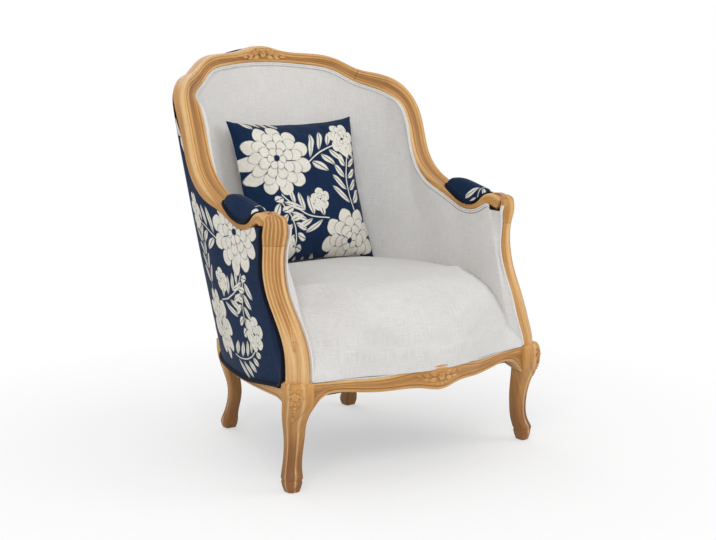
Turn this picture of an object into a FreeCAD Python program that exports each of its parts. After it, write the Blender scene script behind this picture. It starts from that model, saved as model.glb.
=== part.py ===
import FreeCAD, Part
import math
import os

from FreeCAD import Placement, Rotation, Vector

# Armchair with a carved show-wood frame, a barrel back, a tight seat and a loose scatter pillow.
# Millimetres. +X is the sitter's left, +Y is the back, +Z is up.
# The origin is at floor level, in the middle of the chair's outer box.

UP = Vector(0, 0, 1)
FORWARD = Vector(0, -1, 0)
OUTWARD = Vector(1, 0, 0)

# Cross-sections of the show rail, from the middle of the crest to the front of the arm.
# across, back and rise place the middle of the face; face and deep are the section's two sizes.
RAIL_SIZES = {
    "crest": (0.0, 360.0, 978.5, 43.0, 42.0),
    "crest_side": (52.0, 355.0, 972.5, 33.0, 38.0),
    "brow": (125.0, 336.0, 965.0, 31.0, 38.0),
    "shoulder": (198.0, 305.0, 951.0, 34.0, 38.0),
    "neck": (247.0, 270.0, 922.0, 37.0, 38.0),
    "ear": (290.0, 226.0, 905.0, 44.0, 38.0),
    "wing_top": (320.0, 189.0, 886.0, 50.0, 38.0),
    "wing_turn": (337.0, 152.0, 852.0, 53.0, 38.0),
    "wing": (342.0, 120.0, 790.0, 53.0, 38.0),
    "wing_low": (341.0, 86.0, 705.0, 54.0, 36.0),
    "wing_foot": (341.0, 34.0, 659.0, 55.0, 30.0),
    "arm_root": (342.0, -22.0, 633.0, 53.0, 20.0),
    "arm_back": (344.0, -70.0, 608.0, 50.0, 14.0),
    "arm_dip": (344.0, -117.0, 594.5, 50.0, 13.0),
    "arm_rise": (345.0, -154.0, 603.0, 50.0, 15.0),
    "knuckle_back": (346.0, -176.0, 621.0, 50.0, 22.0),
    "knuckle_top": (348.0, -205.0, 628.0, 48.0, 30.0),
    "knuckle_tip": (350.0, -234.0, 617.0, 38.0, 32.0),
}

# How each section lies: the face's tilt from forward to up in degrees, how far the upholstered
# wall has turned from under the rail (0) past its back corner (1) to behind it (2),
# and where the wall stands on the seat frame, measured along the frame from the rear centre.
RAIL_LIE = {
    "crest": (0, 0.0, 0.0),
    "crest_side": (0, 0.0, 40.0),
    "brow": (0, 0.0, 110.0),
    "shoulder": (0, 0.0, 180.0),
    "neck": (0, 0.0, 235.0),
    "ear": (0, 0.0, 290.0),
    "wing_top": (0, 1.0, 345.0),
    "wing_turn": (5, 2.0, 390.0),
    "wing": (5, 2.0, 440.0),
    "wing_low": (20, 2.0, 480.0),
    "wing_foot": (50, 2.0, 530.0),
    "arm_root": (70, 2.0, 580.0),
    "arm_back": (90, 2.0, 625.0),
    "arm_dip": (90, 2.0, 665.0),
    "arm_rise": (90, 2.0, 710.0),
    "knuckle_back": (90, 2.0, 745.0),
    "knuckle_top": (90, 2.0, 785.0),
    "knuckle_tip": (90, 2.0, 800.0),
}
CREST_RUN = ["crest", "crest_side", "brow", "shoulder", "neck"]
WING_RUN = ["neck", "ear", "wing_top", "wing_turn", "wing", "wing_low", "wing_foot", "arm_root"]
ARM_RUN = ["arm_root", "arm_back", "arm_dip", "arm_rise", "knuckle_back", "knuckle_top", "knuckle_tip"]
WALL_RUN = ["crest", "brow", "shoulder", "neck", "ear", "wing_top", "wing", "wing_foot",
            "arm_root", "arm_back", "arm_dip", "arm_rise", "knuckle_top"]

# Centre line and section of the arm post, top to foot: across, back, rise, wide, thick.
POST_SIZES = {
    "post_top": (351.0, -233.0, 556.0, 50.0, 30.0),
    "post_upper": (351.0, -229.0, 505.0, 48.0, 30.0),
    "post_middle": (350.0, -246.0, 440.0, 48.0, 30.0),
    "post_lower": (345.0, -283.0, 376.0, 50.0, 30.0),
    "post_ankle": (343.0, -309.0, 317.0, 52.0, 31.0),
    "post_foot": (349.0, -322.0, 256.0, 54.0, 28.0),
}

# Centre line and section of the legs, top to foot: across, back, rise, side.
FRONT_LEG_SIZES = {
    "front_knee": (349.0, -321.0, 206.0, 58.0),
    "front_thigh": (349.0, -308.0, 167.0, 46.0),
    "front_shin": (346.0, -301.0, 130.0, 39.0),
    "front_ankle": (346.0, -297.0, 80.0, 35.0),
    "front_heel": (352.0, -300.0, 38.0, 37.0),
    "front_toe": (357.0, -306.0, 12.0, 41.0),
    "front_sole": (356.0, -305.0, 2.0, 33.0),
}
REAR_LEG_SIZES = {
    "rear_knee": (217.0, 212.0, 206.0, 38.0),
    "rear_thigh": (207.0, 208.0, 160.0, 34.0),
    "rear_shin": (198.0, 206.0, 120.0, 31.0),
    "rear_ankle": (195.0, 214.0, 80.0, 30.0),
    "rear_heel": (195.0, 232.0, 38.0, 33.0),
    "rear_toe": (196.0, 239.0, 12.0, 36.0),
    "rear_sole": (196.0, 239.0, 2.0, 29.0),
}

# Outer face of the seat frame in plan, from the rear centre to the front leg: across, back.
OUTLINE_SIZES = {
    "rear_centre": (0.0, 246.0),
    "rear_side": (110.0, 242.0),
    "rear_corner": (198.0, 226.0),
    "rear_turn": (236.0, 192.0),
    "side_back": (300.0, 68.0),
    "side_middle": (341.0, -98.0),
    "side_front": (357.0, -293.0),
}

# Serpentine front rail, from its middle to the leg: across, front, top, bottom.
APRON_SIZES = {
    "apron_middle": (0.0, -406.0, 267.0, 205.0),
    "apron_petal": (50.0, -399.0, 264.0, 213.0),
    "apron_swell": (105.0, -388.0, 255.0, 216.0),
    "apron_hollow": (150.0, -371.0, 249.0, 214.0),
    "apron_sweep": (205.0, -354.0, 249.0, 218.0),
    "apron_arch": (260.0, -343.0, 251.0, 223.0),
    "apron_end": (319.0, -338.0, 254.0, 196.0),
}

# Seat pad in plan, from its front centre round to its rear centre: across, back.
SEAT_SIZES = {
    "seat_front": (0.0, -400.0),
    "seat_swell": (105.0, -384.0),
    "seat_sweep": (205.0, -350.0),
    "seat_corner": (286.0, -338.0),
    "seat_cheek": (304.0, -314.0),
    "seat_waist": (284.0, -262.0),
    "seat_side": (280.0, -100.0),
    "seat_back_side": (240.0, 60.0),
    "seat_back_corner": (160.0, 150.0),
    "seat_back": (0.0, 182.0),
}

SIZES = {
    # show wood
    "front_edge_round": 8.0,
    "back_edge_round": 4.0,
    "post_turn": 45.0,
    "post_edge": 6.0,
    "leg_edge": 5.0,
    "head_wide": 54.0,
    "head_thick": 36.0,
    "head_swell_rise": 592.0,
    "head_round_rise": 612.0,
    "head_crown_rise": 625.0,
    "head_crown_wide": 34.0,
    "head_crown_thick": 20.0,
    # seat frame
    "seat_rail_top": 248.0,
    "seat_rail_bottom": 206.0,
    "seat_rail_thick": 32.0,
    "apron_thick": 36.0,
    "apron_lip": 14.0,
    "front_block_side": 60.0,
    "knee_bevel": 22.0,
    "rear_block_inner": 189.0,
    "rear_block_front": 183.0,
    "corner_block_leg": 72.0,
    "corner_block_reach": 34.0,
    "corner_block_thick": 26.0,
    "corner_block_drop": 6.0,
    "stile_wide": 34.0,
    "stile_thick": 22.0,
    "stile_tip_thick": 9.0,
    "stile_gap": 3.0,
    "stay_tall": 40.0,
    "stay_thick": 18.0,
    "stay_rise": 330.0,
    # fasteners
    "dowel_radius": 5.0,
    "dowel_length": 40.0,
    "dowel_pitch": 24.0,
    "screw_radius": 2.2,
    "screw_length": 46.0,
    "screw_head_radius": 4.4,
    "screw_head_tall": 3.0,
    "screw_shift": 6.5,
    "glide_radius": 12.0,
    "glide_pin_radius": 1.5,
    "glide_pin_length": 16.0,
    # upholstered wall
    "wall_inset": 30.0,
    "lining_thick": 1.2,
    "webbing_wide": 50.0,
    "webbing_thick": 1.5,
    "back_foam_thick": 23.0,
    "linen_thick": 2.0,
    "belly": 6.0,
    "outside_thick": 2.0,
    "outside_drop": 26.0,
    "welt_size": 7.0,
    "piping_size": 7.0,
    # seat
    "spring_count": 5.0,
    "spring_pitch": 60.0,
    "spring_wide": 46.0,
    "spring_wire_radius": 1.9,
    "spring_spacing": 62.0,
    "spring_front_gap": 9.0,
    "spring_back_gap": 6.0,
    "clip_thick": 1.0,
    "clip_wide": 18.0,
    "clip_slack": 0.2,
    "seat_hessian_thick": 1.2,
    "seat_shoulder_rise": 392.0,
    "seat_crown_rise": 455.0,
    "dust_cover_thick": 1.0,
    # arm pad
    "pad_wide": 44.0,
    "pad_tall": 50.0,
    "pad_cover_thick": 1.5,
    # pillow
    "pillow_side": 400.0,
    "pillow_pull": 12.0,
    "pillow_thick": 128.0,
    "pillow_cover_thick": 1.5,
    "pillow_across": 12.0,
    "pillow_back": 193.0,
    "pillow_rise": 619.8,
    "pillow_lean": 16.4,
    # running clearance between soft pieces
    "ease": 0.3,
}

TABLES = [
    (RAIL_SIZES, ("across", "back", "rise", "face", "deep")),
    (POST_SIZES, ("across", "back", "rise", "wide", "thick")),
    (FRONT_LEG_SIZES, ("across", "back", "rise", "side")),
    (REAR_LEG_SIZES, ("across", "back", "rise", "side")),
    (OUTLINE_SIZES, ("across", "back")),
    (APRON_SIZES, ("across", "front", "top", "bottom")),
    (SEAT_SIZES, ("across", "back")),
]


def sheet_rows():
    rows = dict(SIZES)
    for table, fields in TABLES:
        for name, values in table.items():
            for field, value in zip(fields, values):
                rows[name + "_" + field] = value
    return rows


def make_sheet(doc):
    sheet = doc.addObject("Spreadsheet::Sheet", "Sizes")
    for number, (alias, value) in enumerate(sheet_rows().items(), start=1):
        sheet.set("A%d" % number, alias)
        sheet.set("B%d" % number, "%g" % value)
        sheet.setAlias("B%d" % number, alias)
    doc.recompute()
    return sheet


doc = FreeCAD.newDocument("Armchair")
sheet = make_sheet(doc)


def size(alias):
    return float(sheet.get(alias))


def place(name, fields=("across", "back", "rise")):
    return Vector(*[size(name + "_" + field) for field in fields])


def mirrored(point):
    return Vector(-point.x, point.y, point.z)


def unit(vector):
    return Vector(vector).normalize()


def closed_wire(points):
    return Part.makePolygon(list(points) + [points[0]])


def loft(sections, smooth=True):
    return Part.makeLoft([closed_wire(section) for section in sections], True, not smooth)


def smooth_curve(points):
    curve = Part.BSplineCurve()
    curve.interpolate(points)
    return curve


def both_sides(half_sections):
    """Left-hand mirror images, then the middle section, then the right-hand ones."""
    left = [[mirrored(point) for point in section] for section in half_sections[:0:-1]]
    return left + half_sections


def to_left(shape):
    return shape.mirror(Vector(0, 0, 0), OUTWARD)


# Show rail

def rail_frames():
    """Face centre, face normal and outward direction at every named section of the rail."""
    names = list(RAIL_SIZES)
    half = [place(name) for name in names]
    curve = smooth_curve([mirrored(point) for point in half[:0:-1]] + half)
    frames = {}
    for name, point in zip(names, half):
        tilt = math.radians(RAIL_LIE[name][0])
        look = Vector(0, -math.cos(tilt), math.sin(tilt))
        along = OUTWARD if name == "crest" else unit(curve.tangent(curve.parameter(point))[0])
        normal = unit(look - along * look.dot(along))
        frames[name] = (point, normal, normal.cross(along))
    return frames


FRAMES = rail_frames()


def rail_point(name, out, depth):
    """out runs from the inner edge of the face to its outer edge, depth from the face backwards."""
    centre, normal, across = FRAMES[name]
    return centre + across * (out - size(name + "_face") / 2) - normal * depth


def rail_section(name):
    face = size(name + "_face")
    deep = size(name + "_deep")
    front = min(size("front_edge_round"), 0.35 * deep)
    back = min(size("back_edge_round"), 0.2 * deep)
    corners = [(0, front), (front, 0), (face - front, 0), (face, front),
               (face, deep - back), (face - back, deep), (back, deep), (0, deep - back)]
    return [rail_point(name, out, depth) for out, depth in corners]


def turned_section(centre, wide, thick, edge):
    """Level section of the post: its wide face looks forward and outward."""
    turn = math.radians(size("post_turn"))
    look = Vector(math.sin(turn), -math.cos(turn), 0)
    across = Vector(math.cos(turn), math.sin(turn), 0)
    w, t = wide / 2, thick / 2
    corners = [(-w, t - edge), (-w + edge, t), (w - edge, t), (w, t - edge),
               (w, edge - t), (w - edge, -t), (edge - w, -t), (-w, edge - t)]
    return [centre + across * out + look * depth for out, depth in corners]


def post_sections(grow=0.0):
    sections = []
    for name in POST_SIZES:
        wide = size(name + "_wide") + 2 * grow
        thick = size(name + "_thick") + 2 * grow
        sections.append(turned_section(place(name), wide, thick, size("post_edge")))
    return sections


def knuckle_head():
    base = place("post_top")
    lean = Vector(0, -6, 0)
    edge = size("post_edge")

    def level(rise):
        return Vector(base.x, base.y, rise)

    wide, thick = size("head_wide"), size("head_thick")
    return loft([
        turned_section(base, size("post_top_wide"), size("post_top_thick"), edge),
        turned_section(level(size("head_swell_rise")) + lean, wide, thick, edge),
        turned_section(level(size("head_round_rise")) + lean, 0.9 * wide, 0.85 * thick, edge),
        turned_section(level(size("head_crown_rise")), size("head_crown_wide"),
                       size("head_crown_thick"), edge),
    ])


def leg_section(name):
    centre = place(name)
    h = size(name + "_side") / 2
    e = size("leg_edge")
    corners = [(-h + e, -h), (h - e, -h), (h, -h + e), (h, h - e),
               (h - e, h), (-h + e, h), (-h, h - e), (-h, -h + e)]
    return [centre + Vector(x, y, 0) for x, y in corners]


def box_between(low, high):
    return Part.makeBox(high.x - low.x, high.y - low.y, high.z - low.z, low)


# Seat frame

def half_outline():
    return [place(name, ("across", "back")) for name in OUTLINE_SIZES]


def outline_curve():
    half = half_outline()
    front = half[-1]
    ahead = front + (front - half[-2]) * 0.3
    half.append(ahead)
    return smooth_curve([mirrored(point) for point in half[:0:-1]] + half)


OUTLINE = outline_curve()
OUTLINE_MIDDLE = OUTLINE.parameter(place("rear_centre", ("across", "back")))


def outline_at(distance):
    """Point on the outer face of the seat frame, and the outward direction there."""
    parameter = OUTLINE.parameterAtDistance(distance, OUTLINE_MIDDLE)
    along = unit(OUTLINE.tangent(parameter)[0])
    return OUTLINE.value(parameter), Vector(-along.y, along.x, 0)


def outline_distance(back):
    """How far round the outline its side reaches a given distance back."""
    near, far = outline_length() * 0.25, outline_length()
    while far - near > 0.01:
        middle = (near + far) / 2
        near, far = (middle, far) if outline_at(middle)[0].y > back else (near, middle)
    return near


def outline_length():
    front = OUTLINE.parameter(half_outline()[-1])
    return OUTLINE.length(OUTLINE_MIDDLE, front)


def offset_curve(inset, reach):
    steps = 18
    half = []
    for number in range(steps + 1):
        point, out = outline_at(reach * number / steps)
        half.append(point - out * inset)
    return smooth_curve([mirrored(point) for point in half[:0:-1]] + half)


def frame_band(low, high, outer=0.0, inner=None):
    """Upright band along the seat frame, between two insets from its outer face."""
    inner = size("seat_rail_thick") if inner is None else inner
    reach = outline_length() + 20
    outside = offset_curve(outer, reach).toShape()
    inside = offset_curve(inner, reach).toShape()
    ends = [Part.makeLine(outside.Vertexes[n].Point, inside.Vertexes[n].Point) for n in (0, 1)]
    face = Part.Face(Part.Wire(Part.__sortEdges__([outside, ends[0], inside, ends[1]])))
    face.translate(UP * low)
    return face.extrude(UP * (high - low))


def frame_floor(low, high, inset, front):
    """Level sheet inside the seat frame, cut straight in front."""
    reach = outline_length() + 20
    edge = offset_curve(inset, reach).toShape()
    close = Part.makeLine(edge.Vertexes[0].Point, edge.Vertexes[1].Point)
    face = Part.Face(Part.Wire([edge, close]))
    face.translate(UP * low)
    slab = face.extrude(UP * (high - low))
    keep = box_between(Vector(-900, front, low - 1), Vector(900, 900, high + 1))
    return slab.common(keep)


def front_block_box():
    foot = place("post_foot")
    h = size("front_block_side") / 2
    return (Vector(foot.x - h, foot.y - h, size("front_knee_rise")), Vector(foot.x + h, foot.y + h, foot.z))


def apron_sections():
    sections = []
    thick = size("apron_thick")
    end = front_block_box()[0].x
    for name in APRON_SIZES:
        x = end if name == "apron_end" else size(name + "_across")
        front, top, bottom = [size(name + "_" + field) for field in ("front", "top", "bottom")]
        lip = size("apron_lip")
        seat = size("seat_rail_top")
        corners = [(front + 5, top), (front, top - 5), (front, bottom + 5), (front + 5, bottom),
                   (front + thick, bottom), (front + thick, seat), (front + lip, seat), (front + lip, top)]
        sections.append([Vector(x, y, z) for y, z in corners])
    return sections


def build_front_leg():
    low, high = front_block_box()
    stem = loft([leg_section(name) for name in FRONT_LEG_SIZES])
    bevel = size("knee_bevel")
    plan = [low, Vector(high.x - bevel, low.y, low.z), Vector(high.x, low.y + bevel, low.z),
            Vector(high.x, high.y, low.z), Vector(low.x, high.y, low.z)]
    block = Part.Face(closed_wire(plan)).extrude(UP * (high.z - low.z))
    return block.fuse(stem).removeSplitter()


def build_rear_leg():
    low = Vector(size("rear_block_inner"), size("rear_block_front"), size("rear_knee_rise"))
    high = Vector(low.x + 80, low.y + 80, size("seat_rail_top"))
    whole = frame_floor(low.z, high.z, 0.0, 0.0)
    block = box_between(low, high).common(whole)
    stem = loft([leg_section(name) for name in REAR_LEG_SIZES])
    return block.fuse(stem).removeSplitter()


def seat_band():
    return frame_band(size("seat_rail_bottom"), size("seat_rail_top"))


def build_side_rail(band):
    low = Vector(0, size("rear_block_front"), 0)
    front = front_block_box()[1].y
    keep = box_between(Vector(100, front, 0), Vector(600, low.y, 600))
    return band.common(keep)


def build_rear_rail(band):
    inner = size("rear_block_inner")
    keep = box_between(Vector(-inner, 0, 0), Vector(inner, 600, 600))
    return band.common(keep)


# Upholstered wall

def deck_rise():
    """Height of the seat deck, just above the springs and their clips."""
    return size("seat_rail_top") + 2 * size("clip_thick") + 2 * size("spring_wire_radius") + 0.5


def tuck_point(name):
    """Where the hessian of the wall meets the rail: under the crest, behind the wings and arms."""
    tuck = RAIL_LIE[name][1]
    layers = size("back_foam_thick") + size("linen_thick") + 3
    gap = 5.0
    past = size(name + "_deep") + gap
    depth = layers + 3 + (past - layers - 3) * min(tuck, 1.0)
    out = -gap + (layers + gap) * max(tuck - 1.0, 0.0)
    return rail_point(name, out, depth)


def wall_frame(name):
    """Foot and head of the wall's hessian at a section, and the level outward direction."""
    edge, out = outline_at(RAIL_LIE[name][2])
    foot = edge - out * size("wall_inset") + UP * (deck_rise() + size("ease"))
    return foot, tuck_point(name), out


def wall_point(name, share, offset):
    foot, head, out = wall_frame(name)
    return foot + (head - foot) * share + out * offset


def layer_section(name, inner, outer, shares=(0.0, 0.5, 1.0), belly=0.0):
    """Closed section of one layer of the wall, between two offsets from its hessian."""
    bulge = [belly * 4 * share * (1 - share) for share in shares]
    up = [wall_point(name, share, inner - swell) for share, swell in zip(shares, bulge)]
    down = [wall_point(name, share, outer - swell) for share, swell in zip(shares, bulge)]
    return up + down[::-1]


def linen_section(name):
    thick = size("linen_thick")
    inner = -size("back_foam_thick") - size("lining_thick") - thick - 2 * size("ease")
    return layer_section(name, inner, inner + thick, belly=size("belly"))


def outside_section(name):
    thick = size("outside_thick")
    edge, out = outline_at(RAIL_LIE[name][2])
    foot = edge + out * size("ease") + UP * (size("seat_rail_top") - size("outside_drop"))
    top = rail_point(name, size(name + "_face") - 5.0, size(name + "_deep") + 1.0)
    middle = foot + (top - foot) * 0.5 + out * size("belly")
    quarter = foot + (top - foot) * 0.1 + out * (0.3 * size("belly"))
    inner = [foot, quarter, middle, top]
    return inner + [point + out * thick for point in inner[::-1]]


def wall_layer(section):
    return loft(both_sides([section(name) for name in WALL_RUN]))


def small_section(centre, first, second, breadth):
    """Six-sided section of a welt or piping about a point."""
    ring = []
    for number in range(6):
        angle = math.radians(60 * number)
        ring.append(centre + first * (math.cos(angle) * breadth / 2) + second * (math.sin(angle) * breadth / 2))
    return ring


def biggest(shape):
    return max(shape.Solids, key=lambda solid: solid.Volume)


def wall_band(near, far):
    """Full wall between two offsets outside its hessian, from which straps and stays are cut."""
    return wall_layer(lambda name: layer_section(name, near, far))


def between_heights(shape, low, high):
    return shape.common(box_between(Vector(-900, -900, low), Vector(900, 900, high)))


def stile_section(share, near, thick):
    """Section of the back stile, which stands behind the wall's hessian at the shoulder."""
    half = size("stile_wide") / 2
    out = wall_frame("shoulder")[2]
    along = Vector(out.y, -out.x, 0)
    centre = wall_point("shoulder", share, near)
    return [centre - along * half, centre + along * half,
            centre + along * half + out * thick, centre - along * half + out * thick]


def stile_bar(slack=0.0):
    """The stile before its ends are cut; slack makes it thicker to both sides."""
    near = size("stile_gap") - slack
    reach = 1.06
    return loft([stile_section(1 - reach, near, size("stile_thick") + 2 * slack),
                 stile_section(reach, near, size("stile_tip_thick") + 2 * slack)], False)


def build_stile(crest):
    stile = stile_bar()
    foot = size("seat_rail_top")
    stile = between_heights(stile, foot, 2000)
    return biggest(stile.cut(crest))


# Seat

def apron_line():
    half = [Vector(size(name + "_across"), size(name + "_front"), 0) for name in APRON_SIZES]
    return smooth_curve([mirrored(point) for point in half[:0:-1]] + half)


def apron_back(x):
    """Back face of the front rail at a distance from the middle."""
    line = apron_line().toShape()
    cut = line.distToShape(Part.makeLine(Vector(x, -900, 0), Vector(x, 0, 0)))
    return cut[1][0][0].y + size("apron_thick")


def seat_wire(shrink, rise):
    """Outline of the seat pad, drawn in by a share towards its middle, at one height."""
    middle = (size("seat_front_back") + size("seat_back_back")) / 2
    half = [place(name, ("across", "back")) for name in SEAT_SIZES]
    ring = half + [mirrored(point) for point in half[-2:0:-1]]
    points = [Vector(p.x * shrink, middle + (p.y - middle) * shrink, rise) for p in ring]
    curve = Part.BSplineCurve()
    curve.interpolate(points, PeriodicFlag=True)
    return Part.Wire(curve.toShape())


SEAT_CORE = 0.45


def seat_solid(grow, low):
    """Domed seat pad; grow adds to every side and to the top."""
    wide = 1 + grow / 290
    shoulder, crown = size("seat_shoulder_rise") + grow, size("seat_crown_rise") + grow
    levels = [(wide, low), (wide, (low + shoulder) / 2)]
    for number in range(6):
        angle = math.radians(15 * number)
        share = SEAT_CORE + (1 - SEAT_CORE) * math.cos(angle)
        levels.append((share * wide, shoulder + (crown - shoulder) * math.sin(angle)))
    levels.append((0.5 * SEAT_CORE * wide, crown))
    return Part.makeLoft([seat_wire(shrink, rise) for shrink, rise in levels], True, True)


def spring_path(x, front, back, rise):
    """Zigzag line of one sinuous spring: straight runs joined by half circles."""
    count = int((back - front) // (size("spring_pitch") / 2))
    step = (back - front) / count
    start = front
    half = size("spring_wide") / 2 - step / 2
    edges = []
    for number in range(count + 1):
        y = start + number * step
        side = 1 if number % 2 == 0 else -1
        here = Vector(x + side * half, y, rise)
        edges.append(Part.makeLine(Vector(x - side * half, y, rise), here))
        if number < count:
            turn = Vector(x + side * (half + step / 2), y + step / 2, rise)
            edges.append(Part.Arc(here, turn, Vector(x + side * half, y + step, rise)).toShape())
    return Part.Wire(edges)


def build_springs():
    """The sinuous springs, and the places where clips hold their ends."""
    rise = size("seat_rail_top") + size("clip_thick") + size("spring_wire_radius") + size("clip_slack") / 2
    back = size("rear_corner_back") - size("spring_back_gap")
    count = int(size("spring_count"))
    springs, ends = [], []
    for number in range(count):
        x = (number - (count - 1) / 2) * size("spring_spacing")
        front = apron_back(x) - size("apron_thick") + size("apron_lip") + size("spring_front_gap")
        path = spring_path(x, front, back, rise)
        start = path.Edges[0]
        ring = Part.Circle(start.valueAt(start.FirstParameter), OUTWARD, size("spring_wire_radius"))
        springs.append(path.makePipeShell([Part.Wire(ring.toShape())], True, False))
        ends += [(x, front), (x, back)]
    return springs, ends


def pillow_wire(share, offset, inset):
    """One outline of the pillow; its sides pull in between the corners."""
    half = (size("pillow_side") / 2 - inset) * share
    pull = size("pillow_pull") * share
    points = []
    for turn in range(4):
        spin = Rotation(Vector(0, 0, 1), 90 * turn)
        for x, y in ((half, -half), (half - pull * 0.75, -half * 0.5), (half - pull, 0), (half - pull * 0.75, half * 0.5)):
            points.append(spin.multVec(Vector(x, y, offset)))
    return closed_wire(points)


def pillow_half(inset, side):
    """Half of the pillow from its seam to one crown."""
    thick = size("pillow_thick") / 2 - inset
    levels = [(1.0, 0.0), (0.93, 0.32), (0.78, 0.68), (0.5, 0.93), (0.2, 1.0)]
    return Part.makeLoft([pillow_wire(share, side * rise * thick, inset) for share, rise in levels], True)


def pillow_place():
    """The pillow's flat side faces forward, leaning against the back."""
    turn = Rotation(OUTWARD, 90 + size("pillow_lean") * -1)
    return Placement(Vector(size("pillow_across"), size("pillow_back"), size("pillow_rise")), turn)


# Trim

def welt_centre(name):
    """Middle of the inside welt: along the rail's inner edge, then under the arm's inner edge."""
    under = max(RAIL_LIE[name][0] - 5, 0) / 85
    radius = size("welt_size") / 2
    depth = radius + 0.5 + (size(name + "_deep") + 0.5) * under
    out = -radius - 0.8 + (radius + 3) * under
    return rail_point(name, out, depth)


def build_inside_welt(names):
    sections = []
    for name in names:
        normal, across = FRAMES[name][1:]
        sections.append(small_section(welt_centre(name), across, normal, size("welt_size")))
    return loft(sections)


def build_seat_welt():
    sections = []
    radius = size("welt_size") / 2
    for name in APRON_SIZES:
        x = front_block_box()[0].x - radius if name == "apron_end" else size(name + "_across")
        centre = Vector(x, size(name + "_front") + 4 + radius, size(name + "_top") + radius + 0.2)
        sections.append(small_section(centre, FORWARD, UP, size("welt_size")))
    return loft(both_sides(sections))


def build_bottom_piping():
    """Piping under the outside cover, round the sides and the back of the seat frame."""
    radius = size("piping_size") / 2
    rise = size("seat_rail_top") - size("outside_drop") - radius - 0.3
    reach = outline_length() - 14
    steps = 14
    sections = []
    for number in range(steps + 1):
        edge, out = outline_at(reach * number / steps)
        centre = edge + out * (radius + size("ease")) + UP * rise
        sections.append(small_section(centre, out, UP, size("piping_size")))
    return loft(both_sides(sections))


def build_post_piping():
    """Piping up the back of the arm post, at the front edge of the outside cover."""
    turn = math.radians(size("post_turn"))
    look = Vector(math.sin(turn), -math.cos(turn), 0)
    across = Vector(math.cos(turn), math.sin(turn), 0)
    radius = size("piping_size") / 2
    sections = []
    for name in POST_SIZES:
        centre = place(name)
        if name == "post_top":
            centre.z -= 2
        if name == "post_foot":
            centre.z += 2
        out = size(name + "_wide") / 2 - 10
        back = size(name + "_thick") / 2 + radius + size("ease")
        sections.append(small_section(centre + across * out - look * back, across, look, size("piping_size")))
    return loft(sections)


PAD_SHAPE = {
    "arm_root": (0.70, 0.34),
    "arm_back": (0.97, 0.94),
    "arm_dip": (1.00, 1.04),
    "arm_rise": (0.92, 0.68),
    "knuckle_back": (0.60, 0.18),
}


def pad_section(name, grow, low):
    """Section of the arm pad, standing upright on the arm's face."""
    wide, tall = PAD_SHAPE[name]
    half = size("pad_wide") / 2 * wide + grow
    tall = size("pad_tall") * tall + grow
    middle = size(name + "_face") / 2
    corners = [(-half, low), (-half, 0.5 * tall), (-0.8 * half, 0.8 * tall), (-0.4 * half, tall),
               (0.4 * half, tall), (0.8 * half, 0.8 * tall), (half, 0.5 * tall), (half, low)]
    return [rail_point(name, middle + out, 0) + UP * height for out, height in corners]


def pad_solid(grow, low):
    return loft([pad_section(name, grow, low) for name in PAD_SHAPE])


def build_pad_piping():
    """Piping round the foot of the arm pad."""
    radius = size("piping_size") / 2
    sides = []
    for side in (-1, 1):
        sections = []
        for name in PAD_SHAPE:
            half = size("pad_wide") / 2 * PAD_SHAPE[name][0] + size("pad_cover_thick") + radius + 0.6
            normal, across = FRAMES[name][1:]
            middle = rail_point(name, size(name + "_face") / 2 + side * half, -radius - size("ease"))
            sections.append(small_section(middle, across, normal, size("piping_size")))
        sides.append(loft(sections))
    return sides


# Fasteners

def bound(kind, sizes, start, along=UP):
    """Part primitive that starts at a point and runs along a direction, its sizes bound to the sheet."""
    thing = doc.addObject("Part::" + kind, kind)
    for field, formula in sizes.items():
        thing.setExpression(field, formula)
    thing.Placement = Placement(start, Rotation(UP, along))
    doc.recompute()
    return thing


def fused(things):
    whole = doc.addObject("Part::MultiFuse", "Fused")
    whole.Shapes = things
    doc.recompute()
    return whole


def shapes_of(things):
    return [thing.Shape for thing in things]


def on_both(points, make):
    """Bound pieces at points and directions of the left-hand side, then at their mirror images."""
    right = [(mirrored(start), mirrored(along)) for start, along in points]
    return [make(start, along) for start, along in list(points) + right]


def dowel(start, along):
    sizes = {"Radius": "Sizes.dowel_radius", "Height": "Sizes.dowel_length"}
    return bound("Cylinder", sizes, start - along * (size("dowel_length") / 2), along)


def dowel_places():
    """Two dowels at each joint of the seat frame and one at each end of the arm post."""
    low, high = front_block_box()
    middle = (size("seat_rail_bottom") + size("seat_rail_top")) / 2
    pitch = size("dowel_pitch")
    rear_rail_y = size("rear_corner_back") - size("seat_rail_thick") / 2 + 2
    edge, out = outline_at(outline_distance(size("rear_block_front")))
    side_rear = edge - out * (size("seat_rail_thick") / 2)
    side_front_x = size("side_front_across") - size("seat_rail_thick") / 2
    apron_y = size("apron_end_front") + size("apron_thick") / 2
    places = []
    for rise in (middle - pitch / 2, middle + pitch / 2):
        places.append((Vector(low.x, apron_y, rise), OUTWARD))
        places.append((Vector(side_front_x, high.y, rise), FORWARD))
        places.append((side_rear + UP * rise, Vector(out.y, -out.x, 0)))
        places.append((Vector(size("rear_block_inner"), rear_rail_y, rise), OUTWARD))
    return places + [(place("post_top"), UP), (place("post_foot"), UP)]


def corner_screw(start, along):
    """Countersunk screw through a corner block into the leg behind it."""
    shank = bound("Cylinder", {"Radius": "Sizes.screw_radius", "Height": "Sizes.screw_length"}, start, along)
    head = bound("Cone", {"Radius1": "Sizes.screw_head_radius", "Radius2": "Sizes.screw_radius",
                          "Height": "Sizes.screw_head_tall"}, start, along)
    return fused([shank, head])


def screw_places(which):
    corner, toward = corners()[which]
    middle = size("seat_rail_top") - size("corner_block_drop") - size("corner_block_thick") / 2
    start = corner - toward * size("corner_block_reach") + UP * middle
    return [(start + UP * shift, toward) for shift in (-size("screw_shift"), size("screw_shift"))]


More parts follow.
